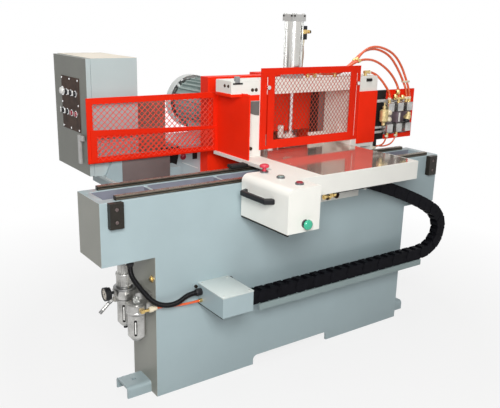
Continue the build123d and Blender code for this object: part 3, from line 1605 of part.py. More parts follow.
# Clamp cylinder: two square caps, a tube and four tie rods, on the crossbeam
cap_top = crossbeam_top + cylinder_cap_height
tube_top = cap_top + cylinder_tube_length
flow_x = clamp_x + cylinder_tube_radius + 22.0
flow_z = tube_top - 60.0
with BuildPart() as clamp_cylinder:
    for low_z in (crossbeam_top, tube_top):
        block(
            (clamp_x - cylinder_cap / 2, clamp_x + cylinder_cap / 2),
            (clamp_y - cylinder_cap / 2, clamp_y + cylinder_cap / 2),
            (low_z, low_z + cylinder_cap_height),
        )
    bar((clamp_x, clamp_y, cap_top), up, cylinder_tube_radius, cylinder_tube_length)
    with Locations((clamp_x, clamp_y, (cap_top + tube_top) / 2)):
        with GridLocations(tie_rod_spacing, tie_rod_spacing, 2, 2):
            Cylinder(tie_rod_radius, cylinder_tube_length)
    with Locations((clamp_x, clamp_y, tube_top + cylinder_cap_height)):
        with GridLocations(tie_rod_spacing, tie_rod_spacing, 2, 2):
            Cylinder(tie_rod_radius + 3.0, 8.0)
    block((clamp_x + cylinder_tube_radius - 3.0, flow_x - 14.0), (clamp_y - 9.0, clamp_y + 9.0),
          (flow_z, flow_z + 24.0))
    bar((clamp_x, clamp_y, cap_top), up, cylinder_bore, cylinder_tube_length, mode=Mode.SUBTRACT)
    bar((clamp_x, clamp_y, crossbeam_top), up, clamp_rod_radius + running_gap, cylinder_cap_height,
        mode=Mode.SUBTRACT)
save(clamp_cylinder, "clamp_cylinder")

# Clamp rod with its piston
neck_top = table_top + clamp_opening + clamp_pad_height + clamp_neck_height
piston_bottom = cap_top + piston_lift
with BuildPart() as clamp_rod:
    bar((clamp_x, clamp_y, neck_top), up, clamp_rod_radius, piston_bottom - neck_top)
    bar((clamp_x, clamp_y, piston_bottom), up, cylinder_bore - bore_gap, piston_height)
save(clamp_rod, "clamp_rod")

# Clamp foot: a pressing pad with a side arm and a guide post
pad_bottom = table_top + clamp_opening
pad_top = pad_bottom + clamp_pad_height
with BuildPart() as clamp_foot:
    bar((clamp_x, clamp_y, pad_bottom), up, clamp_pad_radius, clamp_pad_height)
    bar((clamp_x, clamp_y, pad_top), up, clamp_neck_radius, clamp_neck_height)
    block((clamp_x - clamp_guide_offset, clamp_x), (clamp_y - 8.0, clamp_y + 8.0),
          (pad_top - 1.0, pad_top + 11.0))
    bar((clamp_x - clamp_guide_offset, clamp_y, pad_top - 3.0), up, clamp_guide_radius,
        clamp_guide_height)
save(clamp_foot, "clamp_foot")

# Pusher cylinder on the outside of the right post
pusher_bore_left = carriage_right + pusher_end_wall
pusher_bore_right = carriage_right + pusher_cylinder_length - pusher_end_wall
with BuildPart() as side_cylinder:
    block(
        (carriage_right, carriage_right + pusher_cylinder_length),
        (pusher_y - pusher_cylinder_size / 2, pusher_y + pusher_cylinder_size / 2),
        (pusher_z - pusher_cylinder_size / 2, pusher_z + pusher_cylinder_size / 2),
    )
    bar((pusher_bore_left, pusher_y, pusher_z), right, pusher_bore, pusher_bore_right - pusher_bore_left,
        mode=Mode.SUBTRACT)
    bar((carriage_right, pusher_y, pusher_z), right, pusher_rod_radius + running_gap, pusher_end_wall,
        mode=Mode.SUBTRACT)
save(side_cylinder, "side_cylinder")

# Side pusher: a pad at the fence, a rod through the post and a piston
pad_right = table_right - 2.0
pusher_piston_right = pusher_bore_right - 2.0
with BuildPart() as side_pusher:
    bar((pad_right, pusher_y, pusher_z), left, pusher_pad_radius, pusher_pad_thickness)
    bar((pad_right, pusher_y, pusher_z), right, pusher_rod_radius, pusher_piston_right - pad_right)
    bar((pusher_piston_right - pusher_piston, pusher_y, pusher_z), right, pusher_bore - bore_gap,
        pusher_piston)
save(side_pusher, "side_pusher")

# Fittings: on the valves, the crossbeam, the bulkhead, the clamp's flow control and the pusher cylinder
stub_z = crossbeam_top + 24.0
middle_z = crossbeam_top + 38.0
inner_z = crossbeam_top + 18.0
stub_length = 26.0
outer_x = clamp_x + 110.0
twin_x = outer_x - 30.0
middle_x = outer_x + 109.0
inner_x = outer_x + 313.0
inner_y = portal_front + 11.0
outer_y = portal_front + 27.0
twin_y = portal_front + 44.0
bulkhead_z = (bulkhead_bottom + runner_top) / 2
bulkhead_ys = (portal_front + 18.0, portal_front + 44.0)
pusher_ports = (carriage_right + 20.0, carriage_right + pusher_cylinder_length - 20.0)
pusher_top = pusher_z + pusher_cylinder_size / 2
panel_back = valve_panel_front + panel_thickness
panel_port_z = pusher_top + 85.0
valve_ports = (valve_xs[0], valve_xs[1], valve_xs[2] - 11.0, valve_xs[2] + 11.0)
with BuildPart() as valve_fittings:
    for port_x in valve_ports:
        bar((port_x, valve_y, valve_top), up, fitting_radius, fitting_length)
    for valve_x in valve_xs[:2]:
        bar((valve_x, valve_y, valve_bottom), down, fitting_radius, fitting_length)
    for elbow_x, elbow_y, elbow_z in (
        (inner_x, inner_y, inner_z),
        (middle_x, inner_y, middle_z),
        (outer_x, outer_y, stub_z),
        (twin_x, twin_y, stub_z),
    ):
        bar((elbow_x, elbow_y, crossbeam_top), up, fitting_radius, elbow_z - crossbeam_top)
        bar((elbow_x - fitting_radius, elbow_y, elbow_z), right, fitting_radius,
            stub_length + fitting_radius)
    bar((flow_x, clamp_y, crossbeam_top), up, fitting_radius, fitting_length)
    for bulkhead_y in bulkhead_ys:
        bar((carriage_right, bulkhead_y, bulkhead_z), right, fitting_radius, fitting_length)
    bar((flow_x, clamp_y, flow_z - 12.0), up, 12.0, 52.0)
    block((flow_x - 14.0, flow_x), (clamp_y - 7.0, clamp_y + 7.0), (flow_z + 2.0, flow_z + 22.0))
    for port_x in pusher_ports:
        bar((port_x, pusher_y, pusher_top), up, fitting_radius, fitting_length)
        bar((port_x, panel_back, panel_port_z), back, fitting_radius, fitting_length)
save(valve_fittings, "valve_fittings")

# Air hoses of the carriage, each from one fitting to another
crossbeam_port = crossbeam_top + fitting_length
valve_port = valve_top + fitting_length
low_port = valve_bottom - fitting_length
bulkhead_port = carriage_right + fitting_length
pusher_port = pusher_top + fitting_length
outer_start = outer_x + stub_length
twin_start = twin_x + stub_length
middle_start = middle_x + stub_length
inner_start = inner_x + stub_length
hose_routes = {
    "outer": [
        (outer_start, outer_y, stub_z),
        (outer_start + 50.0, outer_y, stub_z),
        (outer_start + 112.0, outer_y + 1.0, stub_z + 10.0),
        (outer_start + 172.0, outer_y, stub_z + 26.0),
        (outer_start + 228.0, outer_y, stub_z + 54.0),
        (outer_start + 284.0, outer_y, stub_z + 98.0),
        (outer_start + 345.0, outer_y - 2.0, stub_z + 117.0),
        (outer_start + 410.0, outer_y - 6.0, stub_z + 110.0),
        (outer_start + 470.0, outer_y - 14.0, stub_z + 78.0),
        (outer_start + 518.0, outer_y - 24.0, stub_z + 24.0),
        (valve_ports[3] - 14.0, valve_y + 12.0, valve_port + 94.0),
        (valve_ports[3], valve_y, valve_port + 38.0),
        (valve_ports[3], valve_y, valve_port),
    ],
    "twin": [
        (twin_start, twin_y, stub_z),
        (twin_start + 54.0, twin_y, stub_z),
        (twin_start + 118.0, twin_y - 1.0, stub_z + 4.0),
        (twin_start + 186.0, twin_y, stub_z + 16.0),
        (twin_start + 250.0, twin_y, stub_z + 42.0),
        (twin_start + 312.0, twin_y - 1.0, stub_z + 86.0),
        (twin_start + 374.0, twin_y - 4.0, stub_z + 105.0),
        (twin_start + 436.0, twin_y - 9.0, stub_z + 98.0),
        (twin_start + 490.0, twin_y - 17.0, stub_z + 66.0),
        (twin_start + 532.0, twin_y - 28.0, stub_z + 16.0),
        (valve_ports[2] - 12.0, valve_y + 16.0, valve_port + 90.0),
        (valve_ports[2], valve_y, valve_port + 38.0),
        (valve_ports[2], valve_y, valve_port),
    ],
    "middle": [
        (middle_start, inner_y, middle_z),
        (middle_start + 46.0, inner_y, middle_z),
        (middle_start + 102.0, inner_y, middle_z + 28.0),
        (middle_start + 164.0, inner_y, middle_z + 43.0),
        (middle_start + 236.0, inner_y - 2.0, middle_z + 36.0),
        (middle_start + 305.0, inner_y - 8.0, middle_z + 2.0),
        (valve_ports[1] - 42.0, valve_y + 12.0, valve_port + 114.0),
        (valve_ports[1], valve_y, valve_port + 44.0),
        (valve_ports[1], valve_y, valve_port),
    ],
    "inner": [
        (inner_start, inner_y, inner_z),
        (inner_start + 42.0, inner_y, inner_z),
        (inner_start + 86.0, inner_y - 23.0, inner_z - 24.0),
        (valve_ports[0] - 16.0, valve_y + 2.0, valve_port + 72.0),
        (valve_ports[0], valve_y, valve_port + 36.0),
        (valve_ports[0], valve_y, valve_port),
    ],
    "clamp": [
        (flow_x, clamp_y, flow_z - 12.0),
        (flow_x, clamp_y, flow_z - 50.0),
        (flow_x + 6.0, clamp_y, flow_z - 90.0),
        (flow_x, clamp_y, crossbeam_port + 40.0),
        (flow_x, clamp_y, crossbeam_port),
    ],
    "low": [
        (valve_xs[0], valve_y, low_port),
        (valve_xs[0], valve_y, low_port - 48.0),
        (bulkhead_port + 38.0, bulkhead_ys[0], bulkhead_z),
        (bulkhead_port, bulkhead_ys[0], bulkhead_z),
    ],
    "lower": [
        (valve_xs[1], valve_y, low_port),
        (valve_xs[1], valve_y, low_port - 48.0),
        (valve_xs[1] - 46.0, valve_y + 32.0, bulkhead_z - 9.0),
        (bulkhead_port + 42.0, bulkhead_ys[1], bulkhead_z),
        (bulkhead_port, bulkhead_ys[1], bulkhead_z),
    ],
}
for number, port_x in enumerate(pusher_ports):
    hose_routes[f"pusher {number}"] = [
        (port_x, pusher_y, pusher_port),
        (port_x, pusher_y, pusher_port + 41.0),
        (port_x, pusher_y - 36.0, panel_port_z),
        (port_x, panel_back + fitting_length, panel_port_z),
    ]
main_hoses = ("outer", "twin", "middle", "inner")
with BuildPart() as air_hoses:
    for route_name, route in hose_routes.items():
        with BuildLine() as hose_line:
            FilletPolyline(*route, radius=corner_radii(route))
        hose_path = hose_line.wires()[0]
        with BuildSketch(Plane(origin=hose_path @ 0, z_dir=hose_path % 0)):
            Circle(hose_radius if route_name in main_hoses else small_hose_radius)
        sweep(path=hose_path)
save(air_hoses, "air_hoses")
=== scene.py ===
"""Finger joint machine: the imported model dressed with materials, cords and fine detail."""
import json
from math import cos, pi, radians, sin, tau

import bmesh
import bpy
from mathutils import Matrix, Vector

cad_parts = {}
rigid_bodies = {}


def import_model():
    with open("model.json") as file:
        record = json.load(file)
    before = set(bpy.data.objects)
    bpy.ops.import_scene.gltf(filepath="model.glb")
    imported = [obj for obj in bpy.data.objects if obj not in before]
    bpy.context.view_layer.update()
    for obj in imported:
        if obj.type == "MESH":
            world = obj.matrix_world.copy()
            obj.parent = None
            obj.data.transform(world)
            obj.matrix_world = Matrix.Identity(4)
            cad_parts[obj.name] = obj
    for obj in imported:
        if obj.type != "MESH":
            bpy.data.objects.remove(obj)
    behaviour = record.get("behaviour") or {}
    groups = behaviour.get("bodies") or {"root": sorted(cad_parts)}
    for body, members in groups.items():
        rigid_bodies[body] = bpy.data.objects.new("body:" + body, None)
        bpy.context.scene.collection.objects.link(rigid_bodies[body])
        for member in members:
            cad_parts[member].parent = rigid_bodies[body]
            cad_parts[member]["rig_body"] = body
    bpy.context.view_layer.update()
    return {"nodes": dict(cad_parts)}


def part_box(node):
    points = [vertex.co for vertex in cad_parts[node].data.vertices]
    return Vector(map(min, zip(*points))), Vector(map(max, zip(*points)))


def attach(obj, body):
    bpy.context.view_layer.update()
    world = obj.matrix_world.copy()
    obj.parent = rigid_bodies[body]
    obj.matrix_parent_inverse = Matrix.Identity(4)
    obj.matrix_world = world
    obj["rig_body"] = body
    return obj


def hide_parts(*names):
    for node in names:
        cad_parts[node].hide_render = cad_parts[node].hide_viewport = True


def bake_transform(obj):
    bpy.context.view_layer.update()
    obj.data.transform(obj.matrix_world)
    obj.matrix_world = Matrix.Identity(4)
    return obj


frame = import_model()
MM = 0.001

RIGHT = Vector((1, 0, 0))
LEFT = Vector((-1, 0, 0))
BACK = Vector((0, 1, 0))
FRONT = Vector((0, -1, 0))
UP = Vector((0, 0, 1))
DOWN = Vector((0, 0, -1))


def put(name, data):
    """A new object in the scene, from its data."""
    made = bpy.data.objects.new(name, data)
    bpy.context.collection.objects.link(made)
    return made


# Camera, at the place and angle that the photograph was taken from
CAMERA_PLACE = (-1.7635, -2.2011, 1.4825)
CAMERA_YAW = radians(35.74)
CAMERA_PITCH = radians(15.9)
CAMERA_ROLL = radians(1.46)
CAMERA_LENS = 47.22
SENSOR_WIDTH = 36

camera_data = bpy.data.cameras.new("camera")
camera_data.lens = CAMERA_LENS
camera_data.sensor_width = SENSOR_WIDTH
camera_data.sensor_fit = "HORIZONTAL"
camera = put("camera", camera_data)
camera.matrix_world = (
    Matrix.Translation(CAMERA_PLACE) @ Matrix.Rotation(-CAMERA_YAW, 4, "Z")
    @ Matrix.Rotation(pi / 2 - CAMERA_PITCH, 4, "X") @ Matrix.Rotation(CAMERA_ROLL, 4, "Z"))
bpy.context.scene.camera = camera

# Materials
DIRT_HEIGHT = 0.22
DIRT_COLOR = (0.16, 0.15, 0.13, 1)
WHITE = (1, 1, 1, 1)
NOISE_LOW = 0.3
NOISE_HIGH = 0.7
GLOSS_LOW = 0.8
GLOSS_HIGH = 1.2


def set_inputs(tree, node, inputs):
    """Set a shader node's inputs to values, or link them to other nodes' outputs."""
    for key, value in inputs.items():
        if isinstance(value, bpy.types.NodeSocket):
            tree.links.new(value, node.inputs[key])
        else:
            node.inputs[key].default_value = value


def shader_node(tree, kind, inputs=None, output=0, **settings):
    """One output of a new shader node, with its settings and its inputs."""
    made = tree.nodes.new(f"ShaderNode{kind}")
    for key, value in settings.items():
        setattr(made, key, value)
    set_inputs(tree, made, inputs or {})
    return made.outputs[output]


def surface(name, color, roughness, metallic=0, mottle=0.05, cloud=7, grain=700, bump=0.05,
            stretch=(1, 1, 1), coat=0, dirt=0, transmission=0, specular=0.5):
    """A material with uneven colour and gloss and a fine grain, worked out from the place on the object."""
    made = bpy.data.materials.new(name)
    made.use_nodes = True
    tree = made.node_tree
    place = shader_node(tree, "TexCoord", output="Object")
    clouds = shader_node(tree, "TexNoise", {"Vector": place, "Scale": cloud, "Detail": 6})
    drawn = shader_node(tree, "Mapping", {"Vector": place, "Scale": stretch})
    fine = shader_node(tree, "TexNoise", {"Vector": drawn, "Scale": grain, "Detail": 3})
    shown = shader_node(tree, "ValToRGB", {"Fac": clouds})
    tones = shown.node.color_ramp.elements
    for stop, position, shade in zip(tones, (NOISE_LOW, NOISE_HIGH), (1 - mottle, 1 + mottle)):
        stop.position = position
        stop.color = (*(min(1, part * shade) for part in color), 1)
    if dirt:
        height = shader_node(tree, "SeparateXYZ", {"Vector": place}, "Z")
        depth = shader_node(
            tree, "MapRange", {"Value": height, "From Max": DIRT_HEIGHT, "To Min": dirt, "To Max": 0})
        patches = shader_node(tree, "Math", {0: depth, 1: clouds}, operation="MULTIPLY")
        shown = shader_node(tree, "MixRGB", {"Fac": patches, "Color1": shown, "Color2": DIRT_COLOR})
    gloss = shader_node(
        tree, "MapRange", {"Value": fine, "From Min": NOISE_LOW, "From Max": NOISE_HIGH,
                           "To Min": GLOSS_LOW * roughness, "To Max": GLOSS_HIGH * roughness})
    relief = shader_node(tree, "Bump", {"Height": fine, "Strength": bump, "Distance": MM})
    set_inputs(tree, tree.nodes["Principled BSDF"], {
        "Metallic": metallic, "Coat Weight": coat, "Specular IOR Level": specular,
        "Transmission Weight": transmission, "Base Color": shown, "Roughness": gloss, "Normal": relief})
    return made


ALONG_BED = (0.02, 1, 1)
UPRIGHT = (1, 1, 0.02)
BUTTON = {"mottle": 0.1, "cloud": 60, "coat": 0.5}
gray_enamel = surface("gray_enamel", (0.36, 0.455, 0.485), 0.42, cloud=4, grain=900, coat=0.1, dirt=0.15)
# painted shade: a darker, warmer copy of the gray, for the left end plates, which get less light
end_painted_shade = surface("end_painted_shade", (0.295, 0.3, 0.265), 0.42, 0, 0.07, 4, 900, coat=0.1, dirt=0.3)
# painted shade: a darker copy of the gray, for the chain tray
tray_painted_shade = surface("tray_painted_shade", (0.25, 0.32, 0.325), 0.45, cloud=5, grain=900)
# painted shade with a red cast, for the plate over the stand's arm and the post liner; also the end stops'
# brown screws
brown_and_painted_shade = surface("brown_and_painted_shade", (0.145, 0.11, 0.107), 0.5, mottle=0.12, cloud=9)
# painted shade: a dark brown for the front face of the cabinet's column
column_painted_shade = surface("column_painted_shade", (0.26, 0.15, 0.12), 0.5, mottle=0.15, cloud=12)
# painted light: a lighter copy of the gray, for the junction box's lid and a highlight strip on the motor's
# base
painted_light_gray = surface("painted_light_gray", (0.6, 0.66, 0.65), 0.35, mottle=0.03, grain=900, coat=0.2)
# painted shade: a darker, bluer gray for the inside of the bed's trough
trough_painted_shade = surface("trough_painted_shade", (0.25, 0.26, 0.32), 0.4, mottle=0.15, cloud=10)
cabinet_enamel = surface("cabinet_enamel", (0.44, 0.51, 0.52), 0.5, mottle=0.03, grain=1500, bump=0.1)
# painted shade: a darker, warmer copy of the cabinet's gray, for the door on its left side
door_painted_shade = surface("door_painted_shade", (0.225, 0.23, 0.205), 0.5, grain=1500, bump=0.1)
# painted light: a lighter, warmer copy of the cabinet's gray, for its top
roof_painted_light = surface("roof_painted_light", (0.72, 0.66, 0.56), 0.5, mottle=0.06, cloud=3, grain=1500, bump=0.1)
red_enamel = surface("red_enamel", (0.76, 0.02, 0.003), 0.5, grain=500, specular=0.15)
# painted light: a brighter copy of red_enamel, for the red faces that catch more light
lit_red_enamel = surface("lit_red_enamel", (0.98, 0.026, 0.004), 0.5, grain=500, specular=0.15)
# painted shade and reflection: a darker, browner copy of the red, for the front guard's wire
wire_painted_shade = surface("wire_painted_shade", (0.46, 0.065, 0.035), 0.45, grain=500, specular=0.3)
# the mesh's red, made lighter and pinker: a painted glint on the side guard's strands
mesh_painted_glint = surface("mesh_painted_glint", (0.82, 0.06, 0.03), 0.35, grain=500)
white_enamel = surface("white_enamel", (0.84, 0.84, 0.8), 0.45, mottle=0.02, grain=500, specular=0.3)
motor_enamel = surface("motor_enamel", (0.34, 0.42, 0.41), 0.45, mottle=0.08, grain=400, bump=0.2)
cowl_enamel = surface("cowl_enamel", (0.66, 0.7, 0.7), 0.35, coat=0.2)
mirror_steel = surface("mirror_steel", (0.66, 0.61, 0.54), 0.09, 0.72, 0.06, 7, 500, 0.02, ALONG_BED)
rail_steel = surface("rail_steel", (0.19, 0.165, 0.13), 0.45, 0.9, 0.2, cloud=12, stretch=ALONG_BED)
tool_steel = surface("tool_steel", (0.55, 0.55, 0.55), 0.28, 1, 0.08)
dark_steel = surface("dark_steel", (0.16, 0.16, 0.17), 0.38, 0.9, 0.15)
zinc = surface("zinc", (0.68, 0.68, 0.66), 0.25, 1, 0.1, cloud=60)
chrome = surface("chrome", (0.85, 0.85, 0.86), 0.08, 1, 0.02, bump=0.01)
cast_aluminium = surface("cast_aluminium", (0.5, 0.51, 0.5), 0.32, 0.9, 0.14, 40, 900, 0.15)
unit_zinc = surface("unit_zinc", (0.46, 0.455, 0.44), 0.28, 0.9, 0.3, 22, 900, 0.1)
unit_dark = surface("unit_dark", (0.22, 0.22, 0.22), 0.35, 0.9, 0.3, cloud=22)
cap_aluminium = surface("cap_aluminium", (0.48, 0.48, 0.47), 0.5, 0.5, 0.08, cloud=40, grain=900)
drawn_aluminium = surface("drawn_aluminium", (0.6, 0.59, 0.56), 0.26, 1, 0.04, grain=900, stretch=UPRIGHT)
cast_iron = surface("cast_iron", (0.1, 0.11, 0.12), 0.55, 0.3, 0.15, grain=300, bump=0.3)
brass = surface("brass", (0.66, 0.48, 0.2), 0.22, 1, 0.12, cloud=50)
bronze = surface("bronze", (0.58, 0.47, 0.24), 0.5, 0.6, 0.2, cloud=90, grain=500, bump=0.4)
black_plastic = surface("black_plastic", (0.012, 0.012, 0.014), 0.42, 0, 0.2, 7, 1200, 0.12, specular=0.25)
chain_plastic = surface("chain_plastic", (0.005, 0.005, 0.007), 0.6, 0, 0.3, 30, bump=0.1, specular=0.06)
black_oxide = surface("black_oxide", (0.022, 0.019, 0.015), 0.4, 0.2, 0.2, cloud=30, specular=0.3)
recess_black = surface("recess_black", (0.01, 0.009, 0.009), 0.6, mottle=0.3, specular=0.2)
conduit_black = surface("conduit_black", (0.004, 0.004, 0.005), 0.3, mottle=0.2, specular=0.12)
rubber = surface("rubber", (0.02, 0.02, 0.02), 0.7, mottle=0.25, bump=0.2, specular=0.2)
hose_orange = surface("hose_orange", (0.74, 0.1, 0.015), 0.2, mottle=0.1, cloud=40, coat=0.4)
tube_brown = surface("tube_brown", (0.34, 0.22, 0.14), 0.25, mottle=0.1, cloud=40)
cream_plastic = surface("cream_plastic", (0.8, 0.72, 0.55), 0.35, mottle=0.06, cloud=60)
gray_plastic = surface("gray_plastic", (0.26, 0.27, 0.28), 0.45, mottle=0.08, cloud=40)
valve_plum = surface("valve_plum", (0.15, 0.11, 0.13), 0.4, mottle=0.12, cloud=40)
# painted shadow: a dark gray for the patch on the left post
painted_shadow_gray = surface("painted_shadow_gray", (0.13, 0.12, 0.115), 0.55, mottle=0.1, cloud=30)
panel_brown = surface("panel_brown", (0.06, 0.034, 0.024), 0.6, 0, 0.3, 25, bump=0.1, specular=0.15)
lamp_white = surface("lamp_white", (0.82, 0.82, 0.8), 0.12, cloud=90, coat=0.6)
sight_glass = surface("sight_glass", (0.85, 0.87, 0.86), 0.06, transmission=0.9, bump=0.01)
dial_white = surface("dial_white", (0.78, 0.72, 0.64), 0.5, mottle=0.04, cloud=60)
crimson = surface("crimson", (0.62, 0.006, 0.04), 0.22, **BUTTON)
stop_red = surface("stop_red", (0.3, 0.012, 0.03), 0.25, **BUTTON)
start_green = surface("start_green", (0.2, 0.3, 0.28), 0.25, **BUTTON)
cycle_green = surface("cycle_green", (0.02, 0.42, 0.25), 0.22, **BUTTON)

# Shapes, drawn in millimetres; a face this near a plane counts as lying on it
NEAR = 1
WELD = 0.01 * MM
FLAT_ANGLE = radians(1)
SHARP_ANGLE = radians(40)
WASHER = ((1.6, 0), (1.6, 0.24), (1.5, 0.3))
HEX_HEAD = ((1, 0.3), (1, 0.9), (0.85, 1))
SOCKET_HEAD = ((1, 0), (1, 0.75), (0.88, 0.88), (0.55, 0.88), (0.5, 0.3))
DOME_HEAD = ((1, 0), (0.95, 0.3), (0.7, 0.52), (0.3, 0.62))


def limits(node):
    """The lowest and highest corners of a CAD node, in millimetres."""
    low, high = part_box(node)
    return low / MM, high / MM


def spread(first, last, count):
    """Evenly spaced numbers from the first to the last."""
    return [first + (last - first) * number / (count - 1) for number in range(count)]


def angles(count):
    """Evenly spaced angles round a circle."""
    return [tau * number / count for number in range(count)]


def scaled(profile, wide, tall):
    """A turned form's profile, made so many times as wide and as tall."""
    return [(radius * wide, distance * tall) for radius, distance in profile]


def soften(shape, edges, width):
    """Round edges off."""
    bmesh.ops.bevel(shape, geom=edges, offset=width, segments=2, profile=0.5, affect="EDGES",
                    clamp_overlap=True)


def box(shape, low, high, edge=1):
    """Add a box with its edges rounded off."""
    corners = bmesh.ops.create_cube(shape, size=1)["verts"]
    for corner in corners:
        for axis in range(3):
            corner.co[axis] = low[axis] + (corner.co[axis] + 0.5) * (high[axis] - low[axis])
    soften(shape, list({line for corner in corners for line in corner.link_edges}), edge)


def skin(shape, rings):
    """Add a closed skin over rings of points that follow each other."""
    rings = [[shape.verts.new(point) for point in ring] for ring in rings]
    for lower, upper in zip(rings, rings[1:]):
        for number in range(len(lower)):
            shape.faces.new((lower[number - 1], lower[number], upper[number], upper[number - 1]))
    shape.faces.new(rings[0][::-1])
    shape.faces.new(rings[-1])


def turned(shape, start, direction, profile, sides=24):
    """Add a turned form, from its rings of radius and distance along a direction."""
    turn = direction.to_track_quat("Z", "Y").to_matrix()
    skin(shape, [
        [Vector(start) + turn @ Vector((radius * cos(angle), radius * sin(angle), distance))
         for angle in angles(sides)] for radius, distance in profile])


def prism(shape, outline, thickness):
    """Add a flat plate: an outline of points, pushed along a thickness."""
    near = [Vector(point) for point in outline]
    skin(shape, [near, [point + thickness for point in near]])


def bolt(shape, place, direction, radius):
    """Add a hexagon bolt head on its washer."""
    turned(shape, place, direction, scaled(WASHER, radius, radius), 20)
    turned(shape, place, direction, scaled(HEX_HEAD, radius, radius), 6)


def socket(shape, place, direction, radius):
    """Add a socket head screw with its recess."""
    turned(shape, place, direction, scaled(SOCKET_HEAD, radius, radius), 18)


def dome(shape, place, direction, radius):
    """Add a round screw head."""
    turned(shape, place, direction, scaled(DOME_HEAD, radius, radius), 16)


def mesh_object(name, shape, paints, smooth=35):
    """A mesh object from a finished shape in metres, smooth but for its sharp edges."""
    bmesh.ops.recalc_face_normals(shape, faces=shape.faces)
    mesh = bpy.data.meshes.new(name)
    shape.to_mesh(mesh)
    shape.free()
    mesh.shade_smooth()
    mesh.set_sharp_from_angle(angle=radians(smooth))
    for paint in paints:
        mesh.materials.append(paint)
    return put(name, mesh)


def build(name, body, paint, *forms, replaces=()):
    """A piece on a body, made of forms: each is a function that adds to a shape, and what it takes."""
    shape = bmesh.new()
    for add, *facts in forms:
        add(shape, *facts)
    bmesh.ops.scale(shape, vec=(MM, MM, MM), verts=shape.verts)
    made = mesh_object(name, shape, [paint])
    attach(made, body)
    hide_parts(*replaces)


def blocks(name, body, paint, *spans, edge=1):
    """A piece of rounded boxes, each given by its lowest and its highest corner."""
    build(name, body, paint, *((box, low, high, edge) for low, high in spans))


def rim_screws(name, body, paint, low, high, outward, inset, radius):
    """A piece of eight screws round the rim of an upright plate."""
    along = Vector((high.x - low.x, high.y - low.y, 0))
    screws = []
    for across in (0, 0.5, 1):
        for rise in (0, 0.5, 1):
            if across != 0.5 or rise != 0.5:
                spot = low + along * across + along.normalized() * (inset * (1 - 2 * across))
                spot.z = low.z + rise * (high.z - low.z) + inset * (1 - 2 * rise)
                screws.append((dome, spot, outward, radius))
    build(name, body, paint, *screws)


def dress(node, paint, edge, *accents, seam=None):
    """Stand a copy of a CAD node in for it, with its sharp edges rounded off and some faces painted apart.

    Edges at the height of a welded seam stay sharp, so that the two plates look like one.
    """
    shape = bmesh.new()
    shape.from_mesh(frame["nodes"][node].data)
    bmesh.ops.remove_doubles(shape, verts=shape.verts, dist=WELD)
    bmesh.ops.dissolve_limit(shape, angle_limit=FLAT_ANGLE, verts=shape.verts, edges=shape.edges)
    sharp = [
        line for line in shape.edges
        if len(line.link_faces) == 2 and line.calc_face_angle() > SHARP_ANGLE
        and not (seam and all(abs(end.co.z / MM - seam) < NEAR for end in line.verts))]
    soften(shape, sharp, edge * MM)
    for face in shape.faces:
        face.material_index = 0
        centre = face.calc_center_median() / MM
        for number, (_, holds) in enumerate(accents, start=1):
            if holds(centre):
                face.material_index = number
    made = mesh_object(f"{node}_dressed", shape, [paint, *(accent for accent, _ in accents)])
    made.modifiers.new("flat_faces", "WEIGHTED_NORMAL").keep_sharp = True
    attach(made, frame["nodes"][node]["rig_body"])
    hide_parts(node)


# Cords: routes along the solids' own, some with points moved a little towards the photograph
HOSE = 6
SMALL_HOSE = 4
CONDUIT = 10.5
AIR_TUBE = 5
MAIN_HOSES = {
    "hose_outer": [
        (319, 163, 1242), (369, 163, 1232), (431, 164, 1230), (491, 163, 1248), (547, 163, 1286),
        (603, 163, 1340), (664, 161, 1359), (729, 157, 1352), (802, 149, 1322), (854, 139, 1262),
        (884, 128, 1194), (902, 116, 1138), (907, 116, 1098)],
    "hose_twin": [
        (289, 180, 1242), (343, 180, 1231), (407, 179, 1228), (475, 180, 1242), (539, 180, 1276),
        (601, 179, 1328), (663, 176, 1347), (725, 171, 1340), (790, 163, 1310), (836, 152, 1254),
        (864, 132, 1190), (881, 116, 1138), (885, 116, 1098)],
    "hose_middle": [
        (428, 147, 1256), (474, 147, 1256), (530, 147, 1284), (592, 147, 1299), (664, 145, 1292),
        (733, 139, 1258), (786, 128, 1212), (828, 116, 1142), (828, 116, 1098)],
    "hose_inner": [
        (632, 147, 1236), (670, 147, 1230), (706, 130, 1196), (738, 118, 1154), (758, 116, 1126),
        (760, 116, 1098)],
}
SMALL_HOSES = {
    "hose_low": [(760, 116, 912), (751, 118, 870), (733, 148, 855), (703, 154, 851)],
    "hose_lower": [(828, 116, 912), (818, 118, 872), (774, 140, 850), (740, 174, 853), (703, 180, 851)],
    "hose_pusher_near": [(705, 240, 999), (705, 240, 1040), (705, 204, 1066), (705, 166, 1066)],
    "hose_pusher_far": [(770, 240, 999), (770, 240, 1040), (770, 204, 1066), (770, 166, 1066)],
}
CLAMP_TUBE = [(239, 197, 1398), (239, 197, 1360), (245, 197, 1320), (239, 197, 1276), (239, 197, 1236)]
AIR_TUBE_ROUTE = [
    (-711, -113, 395), (-666, -113, 395), (-611, -117, 386), (-551, -133, 390), (-515, -133, 390)]
CONDUIT_ROUTE = [
    (-780, -73, 572), (-780, -73, 540), (-762, -86, 502), (-738, -106, 462), (-708, -122, 424),
    (-664, -134, 404), (-610, -136, 404), (-562, -127, 425), (-527, -127, 425)]


def route_curve(name, route):
    """A curve whose one smooth spline has a route's points as its control points."""
    curve = bpy.data.curves.new(name, "CURVE")
    curve.dimensions = "3D"
    curve.resolution_u = 16
    spline = curve.splines.new("NURBS")
    spline.points.add(len(route) - 1)
    for point, place in zip(spline.points, route):
        point.co = (*(Vector(place) * MM), 1)
    spline.order_u = 3
    spline.use_endpoint_u = True
    return curve


def route_line(route):
    """Points along a route's smooth line, read from its spline, in metres."""
    holder = bpy.data.objects.new("line", route_curve("line", route))
    mesh = bpy.data.meshes.new_from_object(holder)
    line = [vertex.co.copy() for vertex in mesh.vertices]
    bpy.data.meshes.remove(mesh)
    bpy.data.objects.remove(holder)
    return line


